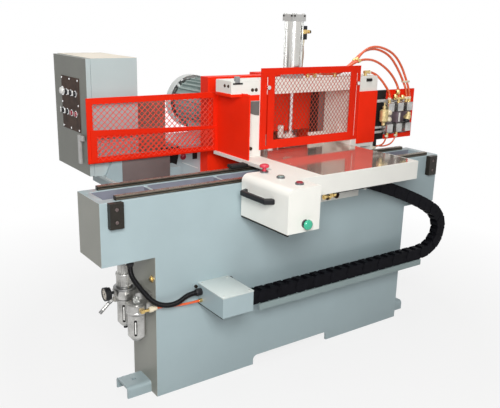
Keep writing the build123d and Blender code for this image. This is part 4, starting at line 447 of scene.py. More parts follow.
def line_length(line):
    """The length along a line of points."""
    return sum((after - before).length for before, after in zip(line, line[1:]))


def hose(name, body, node, route, radius, paint):
    """A round hose along a route, which stands in for a CAD node."""
    curve = route_curve(name, route)
    curve.bevel_depth = radius * MM
    curve.bevel_resolution = 5
    curve.use_fill_caps = True
    curve.materials.append(paint)
    made = put(name, curve)
    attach(made, body)
    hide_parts(node)
    line_length(route_line(route))


for hose_radius, hoses in ((HOSE, MAIN_HOSES), (SMALL_HOSE, SMALL_HOSES)):
    for hose_name, hose_route in hoses.items():
        hose(hose_name, "carriage", "air_hoses", hose_route, hose_radius, hose_orange)
hose("hose_clamp", "carriage", "air_hoses", CLAMP_TUBE, SMALL_HOSE, tube_brown)
hose("tube_air", "base", "air_tube", AIR_TUBE_ROUTE, AIR_TUBE, hose_orange)

# Conduit: a ribbed tube round the points of its route's line
CONDUIT_RIBS = 52
CONDUIT_SIDES = 20
CONDUIT_VALLEY = 8.4
RIB_STEPS = ((0, CONDUIT_VALLEY), (0.25, CONDUIT), (0.6, CONDUIT), (0.85, CONDUIT_VALLEY))


def point_along(line, distance):
    """The point at a distance along a line, and the line's direction there."""
    for before, after in zip(line, line[1:]):
        run = after - before
        if distance <= run.length:
            return before + run * (distance / run.length), run.normalized()
        distance -= run.length
    return line[-1], (line[-1] - line[-2]).normalized()


conduit_line = route_line(CONDUIT_ROUTE)
conduit_length = line_length(conduit_line)
rings = []
for rib in range(CONDUIT_RIBS):
    for share, radius in RIB_STEPS:
        centre, direction = point_along(conduit_line, (rib + share) * conduit_length / CONDUIT_RIBS)
        across = direction.cross(BACK).normalized()
        upright = across.cross(direction)
        rings.append([centre + (across * cos(angle) + upright * sin(angle)) * radius * MM
                      for angle in angles(CONDUIT_SIDES)])
shape = bmesh.new()
skin(shape, rings)
conduit = mesh_object("conduit_ribbed", shape, [conduit_black], smooth=60)
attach(conduit, "base")
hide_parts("conduit")

# Nodes that need no more than paint and soft edges: the paint, the edges' rounding and the nodes
DRESSED = (
    (rail_steel, 0.8, "guide_rails"),
    (black_oxide, 1.5, "end_stops"),
    # the chain tray in the darker gray of painted shade
    (tray_painted_shade, 1, "chain_tray"),
    (unit_zinc, 1.5, "filter_regulator"),
    (unit_zinc, 1, "frl_bowls"),
    (unit_zinc, 0.8, "regulator_knob"),
    (black_plastic, 1, "pressure_gauge"),
    (gray_plastic, 1, "switchgear"),
    (panel_brown, 0.6, "control_plate"),
    (cap_aluminium, 2.5, "door_handle"),
    # the hood in the brighter red of painted light
    (lit_red_enamel, 1.5, "cutter_hood"),
    (motor_enamel, 1, "saw_motor"),
    (cowl_enamel, 0.8, "motor_cowl"),
    (cast_iron, 1, "cutter_motor"),
    (tool_steel, 0.8, "saw_shaft", "cutter_spindle"),
    (tool_steel, 0.3, "saw_blade", "finger_cutters"),
    (white_enamel, 1.2, "carriage_frame", "clamp_foot"),
    (white_enamel, 2, "portal_frame"),
    (white_enamel, 0.8, "side_pusher"),
    (mirror_steel, 1, "table_plate"),
    (dark_steel, 1, "bearing_blocks"),
    # the right panels in the brighter red of painted light
    (lit_red_enamel, 0.8, "right_panels"),
    (gray_plastic, 0.8, "valve_panel"),
    (brass, 0.6, "valve_fittings"),
    (cast_aluminium, 1.5, "side_cylinder"),
    (zinc, 0.8, "guard_bolts"),
    (red_enamel, 0.8, "front_guard_frame"),
    (chrome, 0.5, "clamp_rod"),
    (black_plastic, 2.5, "bow_handle"),
    (stop_red, 1.2, "stop_button", "panel_button_a", "panel_button_b"),
    (start_green, 1.2, "start_button"),
)
for node_paint, node_edge, *nodes in DRESSED:
    for node in nodes:
        dress(node, node_paint, node_edge)

# Bed and pedestal: painted shade on the left end plates and in the trough, and the walls at the trough's ends
PEDESTAL_LEFT = -690
LEFT_END = -600
TROUGH_SIDE = 18
TROUGH_END = 12
TROUGH_FLOOR = 30
TROUGH_TOP = 6
WALL_MIDDLE = 20
WALL_HALF = Vector((14, 59))
WALL_DEPTH = 190
WALL_DROP = 0.4
bed_low, bed_high = limits("bed_beam")


def in_trough(centre):
    """Whether a face of the bed lies inside its trough."""
    return (abs(centre.x) < bed_high.x - TROUGH_END and abs(centre.y) < bed_high.y - TROUGH_SIDE
            and bed_low.z + TROUGH_FLOOR < centre.z < bed_high.z - TROUGH_TOP)


def is_left_end(centre):
    """Whether a face of the bed or the pedestal is on its left end plate."""
    return centre.x < LEFT_END and min(abs(centre.x - bed_low.x), abs(centre.x - PEDESTAL_LEFT)) < NEAR


dress("pedestal", gray_enamel, 2.5, (end_painted_shade, is_left_end), seam=bed_low.z)
dress("bed_beam", gray_enamel, 2, (trough_painted_shade, in_trough), (end_painted_shade, is_left_end), seam=bed_low.z)
blocks("end_walls", "base", gray_enamel, *(
    ((wall_x - WALL_HALF.x, -WALL_HALF.y, bed_high.z - WALL_DEPTH),
     (wall_x + WALL_HALF.x, WALL_HALF.y, bed_high.z - WALL_DROP))
    for wall_x in (bed_low.x + WALL_MIDDLE, bed_high.x - WALL_MIDDLE)))

# Rails: dark bands of painted shade in their side grooves and of painted shadow along their bottoms, painted
# highlights along their top edges, dark ends and plugs
RAIL_WIDTH = 20
RAIL_SHADE_BANDS = ((0.5, 3), (7.5, 11))
SHADE_BAND_PROUD = 0.15
SHADE_BAND_END = 2
SHINE_WIDTH = 2.6
SHINE_INSET = 1.2
SHINE_END = 3
SHINE_SINK = 0.6
SHINE_PROUD = 0.1
END_HALF = 1.5
END_INSET = 0.4
RAIL_PLUGS = 28
PLUG_END = 40
PLUG = ((5.5, 0), (5.2, 0.1), (3.6, 0.1), (3.4, 0.02))
rail_low, rail_high = limits("guide_rails")
rail_fronts = (rail_low.y, rail_high.y - RAIL_WIDTH)
# dark bands on both sides of each rail: painted shade in the groove and a painted shadow line along the
# bottom
blocks("rail_shade_bands", "base", black_oxide, *(
    ((rail_low.x + SHADE_BAND_END, side_y - SHADE_BAND_PROUD, rail_low.z + band_low),
     (rail_high.x - SHADE_BAND_END, side_y + SHADE_BAND_PROUD, rail_low.z + band_high))
    for rail_y in rail_fronts for side_y in (rail_y, rail_y + RAIL_WIDTH)
    for band_low, band_high in RAIL_SHADE_BANDS), edge=0.05)
# light strips along the rails' top edges: painted highlights
blocks("rail_highlights", "base", drawn_aluminium, *(
    ((rail_low.x + SHINE_END, shine_y, rail_high.z - SHINE_SINK),
     (rail_high.x - SHINE_END, shine_y + SHINE_WIDTH, rail_high.z + SHINE_PROUD))
    for rail_y in rail_fronts
    for shine_y in (rail_y + SHINE_INSET, rail_y + RAIL_WIDTH - SHINE_WIDTH - SHINE_INSET)), edge=0.2)
blocks("rail_ends", "base", black_oxide, *(
    ((end_x - END_HALF, rail_y, rail_low.z + END_INSET),
     (end_x + END_HALF, rail_y + RAIL_WIDTH, rail_high.z - END_INSET))
    for end_x in (rail_low.x, rail_high.x) for rail_y in rail_fronts), edge=0.4)
build("rail_plugs", "base", black_oxide, *(
    (turned, (plug_x, rail_y + RAIL_WIDTH / 2, rail_high.z), UP, PLUG, 16)
    for rail_y in rail_fronts
    for plug_x in spread(rail_low.x + PLUG_END, rail_high.x - PLUG_END, RAIL_PLUGS)))

# End stops: two screws in each
STOP_LENGTH = 53
STOP_SCREW = 6.5
STOP_SINK = 6
stop_low, stop_high = limits("end_stops")
stop_middle = stop_high.x - STOP_LENGTH / 2
build("end_stop_screws", "base", brown_and_painted_shade, *(
    (socket, (stop_x, stop_low.y + STOP_SINK, stop_low.lerp(stop_high, share).z), FRONT, STOP_SCREW)
    for stop_x in (-stop_middle, stop_middle) for share in (0.25, 0.75)))

# Cable chain: plated links with pins
CHAIN_PITCH = 50
CHAIN_GAP = 0.3
LOWER_LINKS = 22
BEND_TURNS = (8, 19, 24, 28, 28, 24, 15.5)
UPPER_TURNS = (5.5, 2.5, 1.5, 1, 1, 1, 1, 0.5, 0.5, 0)
PLATE_LOW = ((-0.1, -0.5), (0.02, -0.82), (0.12, -0.98), (0.88, -0.98), (0.98, -0.82), (1.1, -0.5))
PLATE_OUTLINE = (*PLATE_LOW, *((share, -height) for share, height in reversed(PLATE_LOW)))
CORE_OUTLINES = (
    ((0.26, 0.8), (0.74, 0.8), (0.7, 1), (0.3, 1)),
    ((0.26, -0.8), (0.74, -0.8), (0.7, -1), (0.3, -1)),
    ((0, -0.62), (1, -0.62), (1, 0.62), (0, 0.62)),
)
PLATE = 5
PLATE_INSETS = (1, 2.4)
PIN = ((10, -1), (10, 0.6), (8.5, 0.9), (5, 0.9), (4.5, 0.2))
lower_low, lower_high = limits("chain_lower_links")
chain_half = (lower_high.z - lower_low.z) / 2
chain_points = [Vector((lower_low.x - CHAIN_GAP, 0, lower_low.z + chain_half))]
chain_headings = []
for turn in (*[0] * LOWER_LINKS, *BEND_TURNS, *UPPER_TURNS):
    heading = radians(turn) + (chain_headings[-1] if chain_headings else 0)
    chain_headings.append(heading)
    chain_points.append(chain_points[-1] + Vector((cos(heading), 0, sin(heading))) * CHAIN_PITCH)


def chain_station(number):
    """The chain line's point and its outward normal after so many links."""
    before = chain_headings[max(number - 1, 0)]
    after = chain_headings[min(number, len(chain_headings) - 1)]
    mean = (before + after) / 2
    return chain_points[number], Vector((sin(mean), 0, -cos(mean)))


def chain_link(shape, number):
    """Add a link: side plates with pins, bars across the outside and the inside, and the cables."""
    start, start_normal = chain_station(number)
    end, end_normal = chain_station(number + 1)

    def corners(outline, y):
        for share, height in outline:
            point = start.lerp(end, share) + start_normal.lerp(end_normal, share) * (height * chain_half)
            yield Vector((point.x, y, point.z))

    inset = PLATE_INSETS[number % 2]
    for plate_y, pin_y, outward in ((lower_low.y + inset, lower_low.y + inset, FRONT),
                                    (lower_high.y - inset - PLATE, lower_high.y - inset, BACK)):
        prism(shape, corners(PLATE_OUTLINE, plate_y), BACK * PLATE)
        turned(shape, (start.x, pin_y, start.z), outward, PIN, 14)
    for outline in CORE_OUTLINES:
        prism(shape, corners(outline, lower_low.y + PLATE), BACK * (lower_high.y - lower_low.y - 2 * PLATE))


def chain_run(name, node, first, count):
    """A run of links as one mesh, which stands in for a chain node."""
    shape = bmesh.new()
    for number in range(first, first + count):
        chain_link(shape, number)
    bmesh.ops.scale(shape, vec=(MM, MM, MM), verts=shape.verts)
    made = mesh_object(name, shape, [chain_plastic])
    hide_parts(node)
    return made


upper_start = LOWER_LINKS + len(BEND_TURNS)
lower_run = chain_run("chain_lower", "chain_lower_links", 0, LOWER_LINKS)
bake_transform(lower_run)
bend_run = chain_run("chain_bend", "chain_bend_links", LOWER_LINKS, len(BEND_TURNS))
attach(bend_run, "chain_bend")
upper_run = chain_run("chain_upper", "chain_upper_links", upper_start, len(UPPER_TURNS))
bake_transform(upper_run)

# Junction box: a lid with screws in a lighter gray of painted light, black bolts in its ears, and a black
# strip of painted shadow under its left edge
JUNCTION_EAR = 26
EAR_MARGIN = 2
EAR_PLATE = 3.5
LID_THICKNESS = 5
LID_LAP = 1.5
LID_PROUD = 0.6
LID_SCREW = 4
SCREW_INSET = 12
REAR_INSET = 14
JUNCTION_SHADOW_LOW = Vector((-0.8, 1, -3))
JUNCTION_SHADOW_WIDTH = 4
junction_low, junction_high = limits("junction_box")
box_left = junction_low.x + JUNCTION_EAR
box_right = junction_high.x - JUNCTION_EAR
lid_top = junction_high.z + LID_PROUD


def is_ear(centre):
    """Whether a face of the junction box is on a bolt of its ears."""
    outside = centre.x < box_left - EAR_MARGIN or centre.x > box_right + EAR_MARGIN
    return outside and centre.y < junction_high.y - EAR_PLATE


dress("junction_box", gray_enamel, 1.2, (black_oxide, is_ear))
blocks("junction_lid", "base", painted_light_gray,
       ((box_left - LID_LAP, junction_low.y - LID_LAP, junction_high.z - LID_THICKNESS),
        (box_right + LID_LAP, junction_high.y, lid_top)), edge=1.2)
build("junction_screws", "base", zinc, *(
    (dome, (screw_x, screw_y, lid_top), UP, LID_SCREW)
    for screw_x in (box_left + SCREW_INSET, box_right - SCREW_INSET)
    for screw_y in (junction_low.y + SCREW_INSET, junction_high.y - REAR_INSET)))
# a black strip under the box's left edge: painted shadow
blocks("junction_shadow_line", "base", rubber,
       (Vector((box_left, junction_low.y, junction_low.z)) + JUNCTION_SHADOW_LOW,
        (box_left + JUNCTION_SHADOW_WIDTH, junction_high.y, junction_low.z)))

# Glands at both ends of the conduit
GLAND_NUT = 15
GLAND = ((GLAND_NUT, 0), (GLAND_NUT, 9), (13.5, 10), (13.5, 12), (14.5, 13), (14.5, 21), (12, 26))
gland_low, gland_high = limits("conduit_glands")
build("gland_nuts", "base", black_plastic,
      (turned, (gland_low.x + GLAND_NUT, gland_high.y - GLAND_NUT, gland_high.z), DOWN, GLAND, 12),
      (turned, (gland_high.x, gland_low.y + GLAND_NUT, gland_low.z + GLAND_NUT), LEFT, GLAND, 12),
      replaces=["conduit_glands"])

# Air units: their axes, the sight dome and the inlet's hose tail
FILTER_BODY = 42
FILTER_BOWL = 31
LUBRICATOR_BODY = 38
LUBRICATOR_BOWL = 36
SIGHT_DOME = 25.5
TAIL_MARGIN = 2
knob_low, knob_high = limits("regulator_knob")
bowl_low, bowl_high = limits("frl_bowls")
lubricator_low, lubricator_high = limits("lubricator")
filter_low = limits("filter_regulator")[0]
filter_axis = (knob_low + knob_high) / 2
lubricator_axis = Vector((lubricator_low.x + LUBRICATOR_BODY, bowl_low.y + LUBRICATOR_BOWL, lubricator_low.z))
dress("lubricator", unit_zinc, 1.5, (sight_glass, lambda centre: centre.z > lubricator_high.z - SIGHT_DOME))
dress("air_fittings", brass, 0.8, (unit_zinc, lambda centre: centre.x < filter_low.x - TAIL_MARGIN))

TAIL_START = Vector((-812, 37, 400))
TAIL_DIRECTION = Vector((-0.743, 0, -0.669))
TAIL_BARBS = 6
TAIL_PITCH = 9
TAIL_NUT = ((8.5, 0), (8.5, 12), (7, 14))
BARB_START = 14
BARB = ((6.8, 0), (7.4, 1), (6.2, TAIL_PITCH))
build("tail_barbs", "base", unit_dark, *(
    (turned, TAIL_START + TAIL_DIRECTION * (BARB_START + barb * TAIL_PITCH), TAIL_DIRECTION, BARB, 20)
    for barb in range(TAIL_BARBS)))
build("tail_nut", "base", unit_dark, (turned, TAIL_START, TAIL_DIRECTION, TAIL_NUT, 6))

# Rings round the air units: each ring's axis, radius, lowest height and thickness
BODY_RING = ((0, 0), (1, 0), (1, 0.75), (0.96, 1), (0, 1))
RING_CORE = 0.1
UNIT_RINGS = (
    (filter_axis, FILTER_BODY - 4, bowl_high.z - 7, 9),
    (filter_axis, FILTER_BODY - 8, knob_low.z - 10, 9),
    (lubricator_axis, LUBRICATOR_BODY + 2, lubricator_low.z - 6, 9),
    (lubricator_axis, LUBRICATOR_BODY - 8, lubricator_low.z + 29, 4),
)
UNIT_FLANGES = (
    (filter_axis, FILTER_BODY + 3, bowl_high.z + 30, 9),
    (filter_axis, FILTER_BODY - 9, bowl_high.z + 42, 4),
    (filter_axis, FILTER_BOWL + 1.5, bowl_high.z - 14, 3),
    (lubricator_axis, LUBRICATOR_BOWL + 1.5, lubricator_low.z - 10, 3),
)


def flat_ring(shape, axis, radius, low, thickness):
    """Add a flat ring round an upright axis."""
    profile = [(max(RING_CORE, reach), height) for reach, height in scaled(BODY_RING, radius, thickness)]
    turned(shape, (axis.x, axis.y, low), UP, profile, 40)


build("air_unit_rings", "base", unit_zinc, *((flat_ring, *ring) for ring in UNIT_RINGS))
build("air_unit_flanges", "base", unit_dark, *((flat_ring, *ring) for ring in UNIT_FLANGES))

# Ribs round the regulator's bonnet
BONNET_RIBS = 28
BONNET_RADIUS = 30.2
BONNET_LOW = 48
BONNET_RIB = ((1.5, 0), (1.5, 44), (0.8, 46))
bonnet_foot = Vector((filter_axis.x, filter_axis.y, bowl_high.z + BONNET_LOW))
build("bonnet_ribs", "base", unit_zinc, *(
    (turned, bonnet_foot + Vector((cos(angle), sin(angle), 0)) * BONNET_RADIUS, UP, BONNET_RIB, 8)
    for angle in angles(BONNET_RIBS)))

# Sight windows on the bowls: each part's half width, its reach past the window, and how proud it is
SIGHT_SIDE = Vector((-0.55, -0.83, 0)).normalized()
SIGHT_ACROSS = SIGHT_SIDE.cross(UP)
SIGHT_CORNERS = 12
SIGHT_DEPTH = 5
SIGHT_ROUND = 0.8
SIGHT_PARTS = (
    ("bowl_window_frames", unit_zinc, 9, 3, 0.9),
    ("bowl_windows", recess_black, 6, 0, 1.3),
    # a white strip in each window: a painted highlight on the glass
    ("bowl_levels", lamp_white, 2.6, -6, 1.6),
)
SIGHTS = (
    (filter_axis, FILTER_BOWL, bowl_high.z - 100, bowl_high.z - 34),
    (lubricator_axis, LUBRICATOR_BOWL, bowl_low.z + 34, bowl_low.z + 92),
)


def sight_plate(shape, axis, bowl_radius, low, high, half, grow, proud):
    """Add an upright plate with round ends on the front of a bowl."""
    middle = Vector((axis.x, axis.y, 0)) + SIGHT_SIDE * (bowl_radius + proud)
    outline = []
    for number in range(SIGHT_CORNERS):
        angle = tau * (number + 0.5) / SIGHT_CORNERS
        end_z = high + grow if sin(angle) > 0 else low - grow
        end_z += half * sin(angle) * SIGHT_ROUND
        outline.append(middle + SIGHT_ACROSS * (half * cos(angle)) + UP * end_z)
    prism(shape, outline, SIGHT_SIDE * -SIGHT_DEPTH)


for part_name, part_paint, *part_facts in SIGHT_PARTS:
    build(part_name, "base", part_paint, *((sight_plate, *sight, *part_facts) for sight in SIGHTS))

# Small fittings at the air units
OUTLET = Vector((-725, -113, 395))
OUTLET_COLLAR = ((8, 0), (11.5, 2), (11.5, 16), (8.5, 18), (8.5, 30), (6, 34))
GROUND_BOLT = (PEDESTAL_LEFT, -74, 501)
DRAIN_HEIGHT = 126
DRAIN = ((11, 0), (11, 4), (6, 5), (6, 9), (8, 10), (8, 15), (5, 16))
build("outlet_collar", "base", cream_plastic, (turned, OUTLET, RIGHT, OUTLET_COLLAR, 20))
build("ground_bolt", "base", brass, (bolt, GROUND_BOLT, LEFT, 9))
build("drain_cock", "base", black_plastic,
      (turned, (filter_axis.x, filter_axis.y, bowl_high.z - DRAIN_HEIGHT), DOWN, DRAIN, 18))

# Gauge: a rim, a dial, marks and a needle, which have two ends, a width and how proud they are
DIAL_RADIUS = 21.5
DIAL_SINK = 2.2
DIAL_MARKS = 11
DIAL_SWEEP = radians(270)
MARK = (0.68, 0.92, 1.6, 0.3)
NEEDLE_SHARE = 0.62
NEEDLE = (-0.2, 0.72, 2.2, 0.6)
HAND_THICKNESS = 0.3
HAND_TAPER = 0.6
DIAL = ((DIAL_RADIUS, -0.6), (DIAL_RADIUS, -0.1), (0.96 * DIAL_RADIUS, 0))
DIAL_HUB = ((2.6, 0), (2.6, 1), (1.5, 1.4))
BEZEL_RING = ((23.4, 2.6), (23.4, 0.2), (27.4, 0.2), (27.4, 15), (25, 16.5))
gauge_low, gauge_high = limits("pressure_gauge")
gauge_centre = Vector((gauge_low.x, (gauge_low.y + gauge_high.y) / 2, (gauge_low.z + gauge_high.z) / 2))
dial_centre = gauge_centre + RIGHT * DIAL_SINK


def dial_hand(shape, share, near, far, width, proud):
    """Add a flat hand or mark on the dial, at a share of its sweep."""
    angle = DIAL_SWEEP * (share - 0.5)
    outward = Vector((0, -sin(angle), cos(angle))) * DIAL_RADIUS
    across = Vector((0, cos(angle), sin(angle))) * (width / 2)
    hub = dial_centre + LEFT * proud
    foot = hub + outward * near
    tip = hub + outward * far
    outline = [foot - across, tip - across * HAND_TAPER, tip + across * HAND_TAPER, foot + across]
    prism(shape, outline, RIGHT * HAND_THICKNESS)


build("gauge_bezel", "base", black_plastic, (turned, gauge_centre, RIGHT, BEZEL_RING, 40))
build("gauge_dial", "base", dial_white, (turned, dial_centre, LEFT, DIAL, 40))
build("gauge_marks", "base", black_plastic,
      *((dial_hand, share, *MARK) for share in spread(0, 1, DIAL_MARKS)), (dial_hand, NEEDLE_SHARE, *NEEDLE),
      (turned, dial_centre, LEFT, DIAL_HUB, 16))

# Switch cabinet: skin, and the control plate with its screws, lamps, knobs and buttons
LAMP_COLUMNS = 4
LAMP_PITCH = 50
LAMP_MARGIN = 30
LAMP_ROW = 66
ROW_GAP = 85
BIG_LAMP = 20
BEZEL = 14
BEZEL_PROFILE = ((1, 0), (1, 4.5), (0.9, 6), (0.78, 6))
KNOB_PROFILE = ((0.78, 5), (0.78, 9), (0.7, 13.5), (0.55, 16))
COLLAR_PROFILE = ((14.3, 0), (14.3, 5), (13.4, 6), (11.4, 6), (11.4, 0.5))
LEVER_LOW = Vector((-18, -5, -7))
LEVER_HIGH = Vector((-15, 5, 15))
LEVER_EDGE = 1.5
PLATE_SCREW_INSET = 9
PLATE_SCREW = 5
cabinet_low, cabinet_high = limits("cabinet_body")
door_low = limits("cabinet_door")[0]
plate_low, plate_high = limits("control_plate")
# the cabinet's top faces are painted lighter: painted light
dress("cabinet_body", cabinet_enamel, 1.2, (roof_painted_light, lambda centre: centre.z > cabinet_high.z - NEAR))
# the door is painted darker, as painted shade, but for its front edge in the cabinet's gray
dress("cabinet_door", door_painted_shade, 1.2, (cabinet_enamel, lambda centre: centre.y < door_low.y + NEAR))
columns = [plate_low.y + LAMP_MARGIN + number * LAMP_PITCH for number in range(LAMP_COLUMNS)]
lamp_z = plate_high.z - LAMP_ROW
button_z = lamp_z - ROW_GAP
big_lamp = Vector((plate_low.x, columns[-1], lamp_z))
buttons = [Vector((plate_low.x, column, button_z)) for column in columns[:2]]
knobs = [Vector((plate_low.x, column, row_z)) for column in columns for row_z in (lamp_z, button_z)]
knobs = [place for place in knobs if place != big_lamp and place not in buttons]


def fitted(profile, places, radius):
    """Turned forms of a radius at some places on the control plate."""
    return [(turned, place, LEFT, scaled(profile, radius, 1), 28) for place in places]


build("panel_bezels", "door", chrome, *fitted(BEZEL_PROFILE, knobs, BEZEL),
      *fitted(BEZEL_PROFILE, [big_lamp], BIG_LAMP), replaces=["panel_lamps"])
build("panel_lenses", "door", lamp_white, *fitted(KNOB_PROFILE, [big_lamp], BIG_LAMP))
build("panel_knobs", "door", black_plastic, *fitted(KNOB_PROFILE, knobs, BEZEL))
blocks("panel_levers", "door", lamp_white,
       *((place + LEVER_LOW, place + LEVER_HIGH) for place in knobs), edge=LEVER_EDGE)
build("panel_collars", "door", chrome, *fitted(COLLAR_PROFILE, buttons, 1))
rim_screws("plate_screws", "door", chrome, plate_low, Vector((plate_low.x, plate_high.y, plate_high.z)), LEFT,
           PLATE_SCREW_INSET, PLATE_SCREW)

# Rear stand: painted shade on the column's front and on a plate over the arm, a black wedge of painted shade
# beside it, and on the motor's base a painted highlight, a bolt and a socket
COLUMN_LEFT = -516
COLUMN_RIGHT = -284
COLUMN_FRONT = 560
ARM_SHADE_PLATE = ((-604, 356.5, 692), (-372, 359, 899))
WEDGE_OUTLINE = ((-372, 460, 736), (-296, 460, 736), (-262, 460, 889), (-372, 460, 889))
WEDGE_DEPTH = 9
BASE_FRONT = 469.3
HIGHLIGHT_OUTLINE = ((-246, 808), (-160, 771), (-160, 775), (-246, 812))
BASE_PROUD = 3
BASE_BOLT = (-241, BASE_FRONT, 838)
BASE_SOCKET = ((-190, BASE_FRONT - BASE_PROUD, 820), (-164, BASE_FRONT, 850))


def is_column_front(centre):
    """Whether a face of the rear stand is on the front of the cabinet's column."""
    return COLUMN_LEFT < centre.x < COLUMN_RIGHT and abs(centre.y - COLUMN_FRONT) < NEAR


# the column's front face is painted dark brown: painted shade
dress("rear_stand", gray_enamel, 2, (column_painted_shade, is_column_front))
# a dark brown plate over the arm's front: painted shade with a red cast
blocks("arm_shade_plate", "base", brown_and_painted_shade, ARM_SHADE_PLATE)
# a black wedge in the gap beside the motor's base: painted shade
build("stand_shade_wedge", "base", recess_black, (prism, WEDGE_OUTLINE, BACK * WEDGE_DEPTH))
# a thin light strip on the motor's base: a painted highlight along an edge
build("base_highlight", "base", painted_light_gray,
      (prism, [(x, BASE_FRONT, z) for x, z in HIGHLIGHT_OUTLINE], FRONT * BASE_PROUD))
build("base_bolt", "base", stop_red, (bolt, BASE_BOLT, FRONT, 10))
blocks("base_socket", "base", recess_black, BASE_SOCKET)

# Screwed covers on the stand and the cabinet, the lid of the motor's terminal box, and the hood's bolts
COVER = 4
COVER_EDGE = 1.2
COVER_INSET = 13
COVER_SCREW = 5.5
SLAT_PITCH = 16
SLAT_TOP = 40
SLAT_INSET = 0.2
SLAT_OUTLINE = ((0, 0), (5, 5), (5, 7), (0, 9))
STAND_BACK = 777
STAND_RIGHT = 495
TERMINAL_SIDE = 224
hood_low, hood_high = limits("cutter_hood")
COVERS = (
    ("stand_rear_cover", (-190, STAND_BACK, 110), (380, STAND_BACK, 610), BACK, 10),
    ("stand_side_cover", (STAND_RIGHT, 200, 130), (STAND_RIGHT, 680, 600), RIGHT, 6),
    ("cabinet_vent", (cabinet_low.x + 40, cabinet_high.y, 1120),
     (cabinet_high.x - 30, cabinet_high.y, 1285), BACK, 7),
    ("terminal_lid", (TERMINAL_SIDE, 648, 998), (TERMINAL_SIDE, 792, 1082), RIGHT, 0),
)
HOOD_BACK = 597
HOOD_BOLTS = (hood_low.x + 395, hood_high.x - 24)
HOOD_BOLT_SPAN = (hood_low.z + 30, hood_high.z - 24)


def cover_plate(name, low, high, outward, slats):
    """A cover on an upright side of the base: a plate with screws along its rim, and slats over air slots."""
    low = Vector(low)
    high = Vector(high)
    face = outward * COVER
    along = Vector((high.x - low.x, high.y - low.y, 0))
    forms = [(box, [min(pair) for pair in zip(low, low + face)],
              [max(pair) for pair in zip(high, high + face)], COVER_EDGE)]
    for number in range(slats):
        top = low + along * SLAT_INSET + face
        top.z = high.z - SLAT_TOP - number * SLAT_PITCH
        outline = [top + outward * reach + DOWN * drop for reach, drop in SLAT_OUTLINE]
        forms.append((prism, outline, along * (1 - 2 * SLAT_INSET)))
    build(name, "base", gray_enamel, *forms)
    rim_screws(f"{name}_screws", "base", zinc, low + face, high + face, outward, COVER_INSET, COVER_SCREW)


for cover in COVERS:
    cover_plate(*cover)
build("hood_bolts", "base", zinc, *(
    (bolt, (bolt_x, HOOD_BACK, bolt_z), BACK, 5)
    for bolt_x in HOOD_BOLTS for bolt_z in spread(*HOOD_BOLT_SPAN, 4)))

# Carriage: the side screen's plate in the brighter red of painted light, and the control box with its dark
# collars and a black strip of painted shadow under it
SCREEN_FRONT = 326.5
COLLAR = 7
COLLAR_MARGIN = 0.5
CONTROL_SHADOW_LOW = Vector((0.5, COLLAR + 1, -7))
CONTROL_SHADOW_WIDTH = 8
CONTROL_SHADOW_BACK = 2
table_high = limits("table_plate")[1]
control_low, control_high = limits("control_box")


def is_collar(centre):
    """Whether a face of the control box is on the collar of a button."""
    return centre.z > table_high.z + COLLAR_MARGIN or centre.y < control_low.y + COLLAR - COLLAR_MARGIN


# the guard's faces in front of the screen in the brighter red of painted light
dress("left_guard_frame", red_enamel, 0.8, (lit_red_enamel, lambda centre: centre.y < SCREEN_FRONT))
dress("control_box", white_enamel, 1.5, (dark_steel, is_collar))
# a black strip under the control box's left edge: painted shadow
blocks("control_shadow_line", "carriage", recess_black,
       (control_low + CONTROL_SHADOW_LOW,
        (control_low.x + CONTROL_SHADOW_WIDTH, control_high.y - CONTROL_SHADOW_BACK, control_low.z)))

# Portal: what is bolted to its posts and its crossbeam, and dark patches and strips of painted shade on them
portal_low, portal_high = limits("portal_frame")
BEAM_FRONT = portal_low.y
BRACKET_FRONT = BEAM_FRONT - 2
POST_SHADOW_OUTLINE = ((-110, 1129), (-45, 1129), (-45, 1065), (-68, 1068), (-110, 1083))
POST_SHADOW_PROUD = 1.5
LINER_DEPTH = (342, 345)
LINER_HEIGHT = (884, 1150)
STOP_PIN = ((16, 0), (16, 58), (13, 62), (13, 70), (9, 74))
# a dark gray patch on the left post under the bracket: painted shadow
build("post_shadow", "carriage", painted_shadow_gray,
      (prism, [(x, BEAM_FRONT, z) for x, z in POST_SHADOW_OUTLINE], FRONT * POST_SHADOW_PROUD))
# the guard bracket in the brighter red of painted light
blocks("guard_bracket", "carriage", lit_red_enamel,
       ((-110, BRACKET_FRONT, 1131), (-45, BEAM_FRONT, 1156)),
       ((-197, BRACKET_FRONT, 1151), (-110, BEAM_FRONT, 1163)),
       ((portal_low.x - 2, BEAM_FRONT, 1151), (portal_low.x, 256, 1165)),
       ((-143, 73.5, 1151), (-137, BRACKET_FRONT, 1166)), edge=0.6)
# black strips; the first, beside the post liner, is painted shadow in the gap between the hood and the right
# post
blocks("post_strips", "carriage", recess_black,
       ((430, LINER_DEPTH[0], LINER_HEIGHT[0]), (484, LINER_DEPTH[1], LINER_HEIGHT[1])),
       ((-187, BEAM_FRONT - 3, 1204), (-137, BEAM_FRONT, 1211)),
       ((606, BEAM_FRONT - 8, 1192), (640, BEAM_FRONT, 1206)))
# a brown strip at the right post, guessed as a backing board, in the dark brown of painted shade
blocks("post_liner", "carriage", brown_and_painted_shade,
       ((484, LINER_DEPTH[0], LINER_HEIGHT[0]), (527, LINER_DEPTH[1], LINER_HEIGHT[1])))
blocks("back_fence", "carriage", white_enamel, ((420, 330, 882.5), (524, 341.5, 922)))
blocks("beam_switch", "carriage", gray_plastic,
       ((-176, BEAM_FRONT - 4, 1211), (-152, BEAM_FRONT + 10, 1238)), edge=2)
build("portal_bolts", "carriage", panel_brown,
      *((bolt, (bolt_x, BEAM_FRONT, 1178), FRONT, 5) for bolt_x in (-84, -64)),
      (socket, (-89, BEAM_FRONT, 920), FRONT, 8),
      *((bolt, (portal_low.x, bolt_y, 1196), LEFT, 4.5) for bolt_y in (158, 186)))
build("stop_pin", "carriage", cap_aluminium, (turned, (62, 232, table_high.z), UP, STOP_PIN, 28))
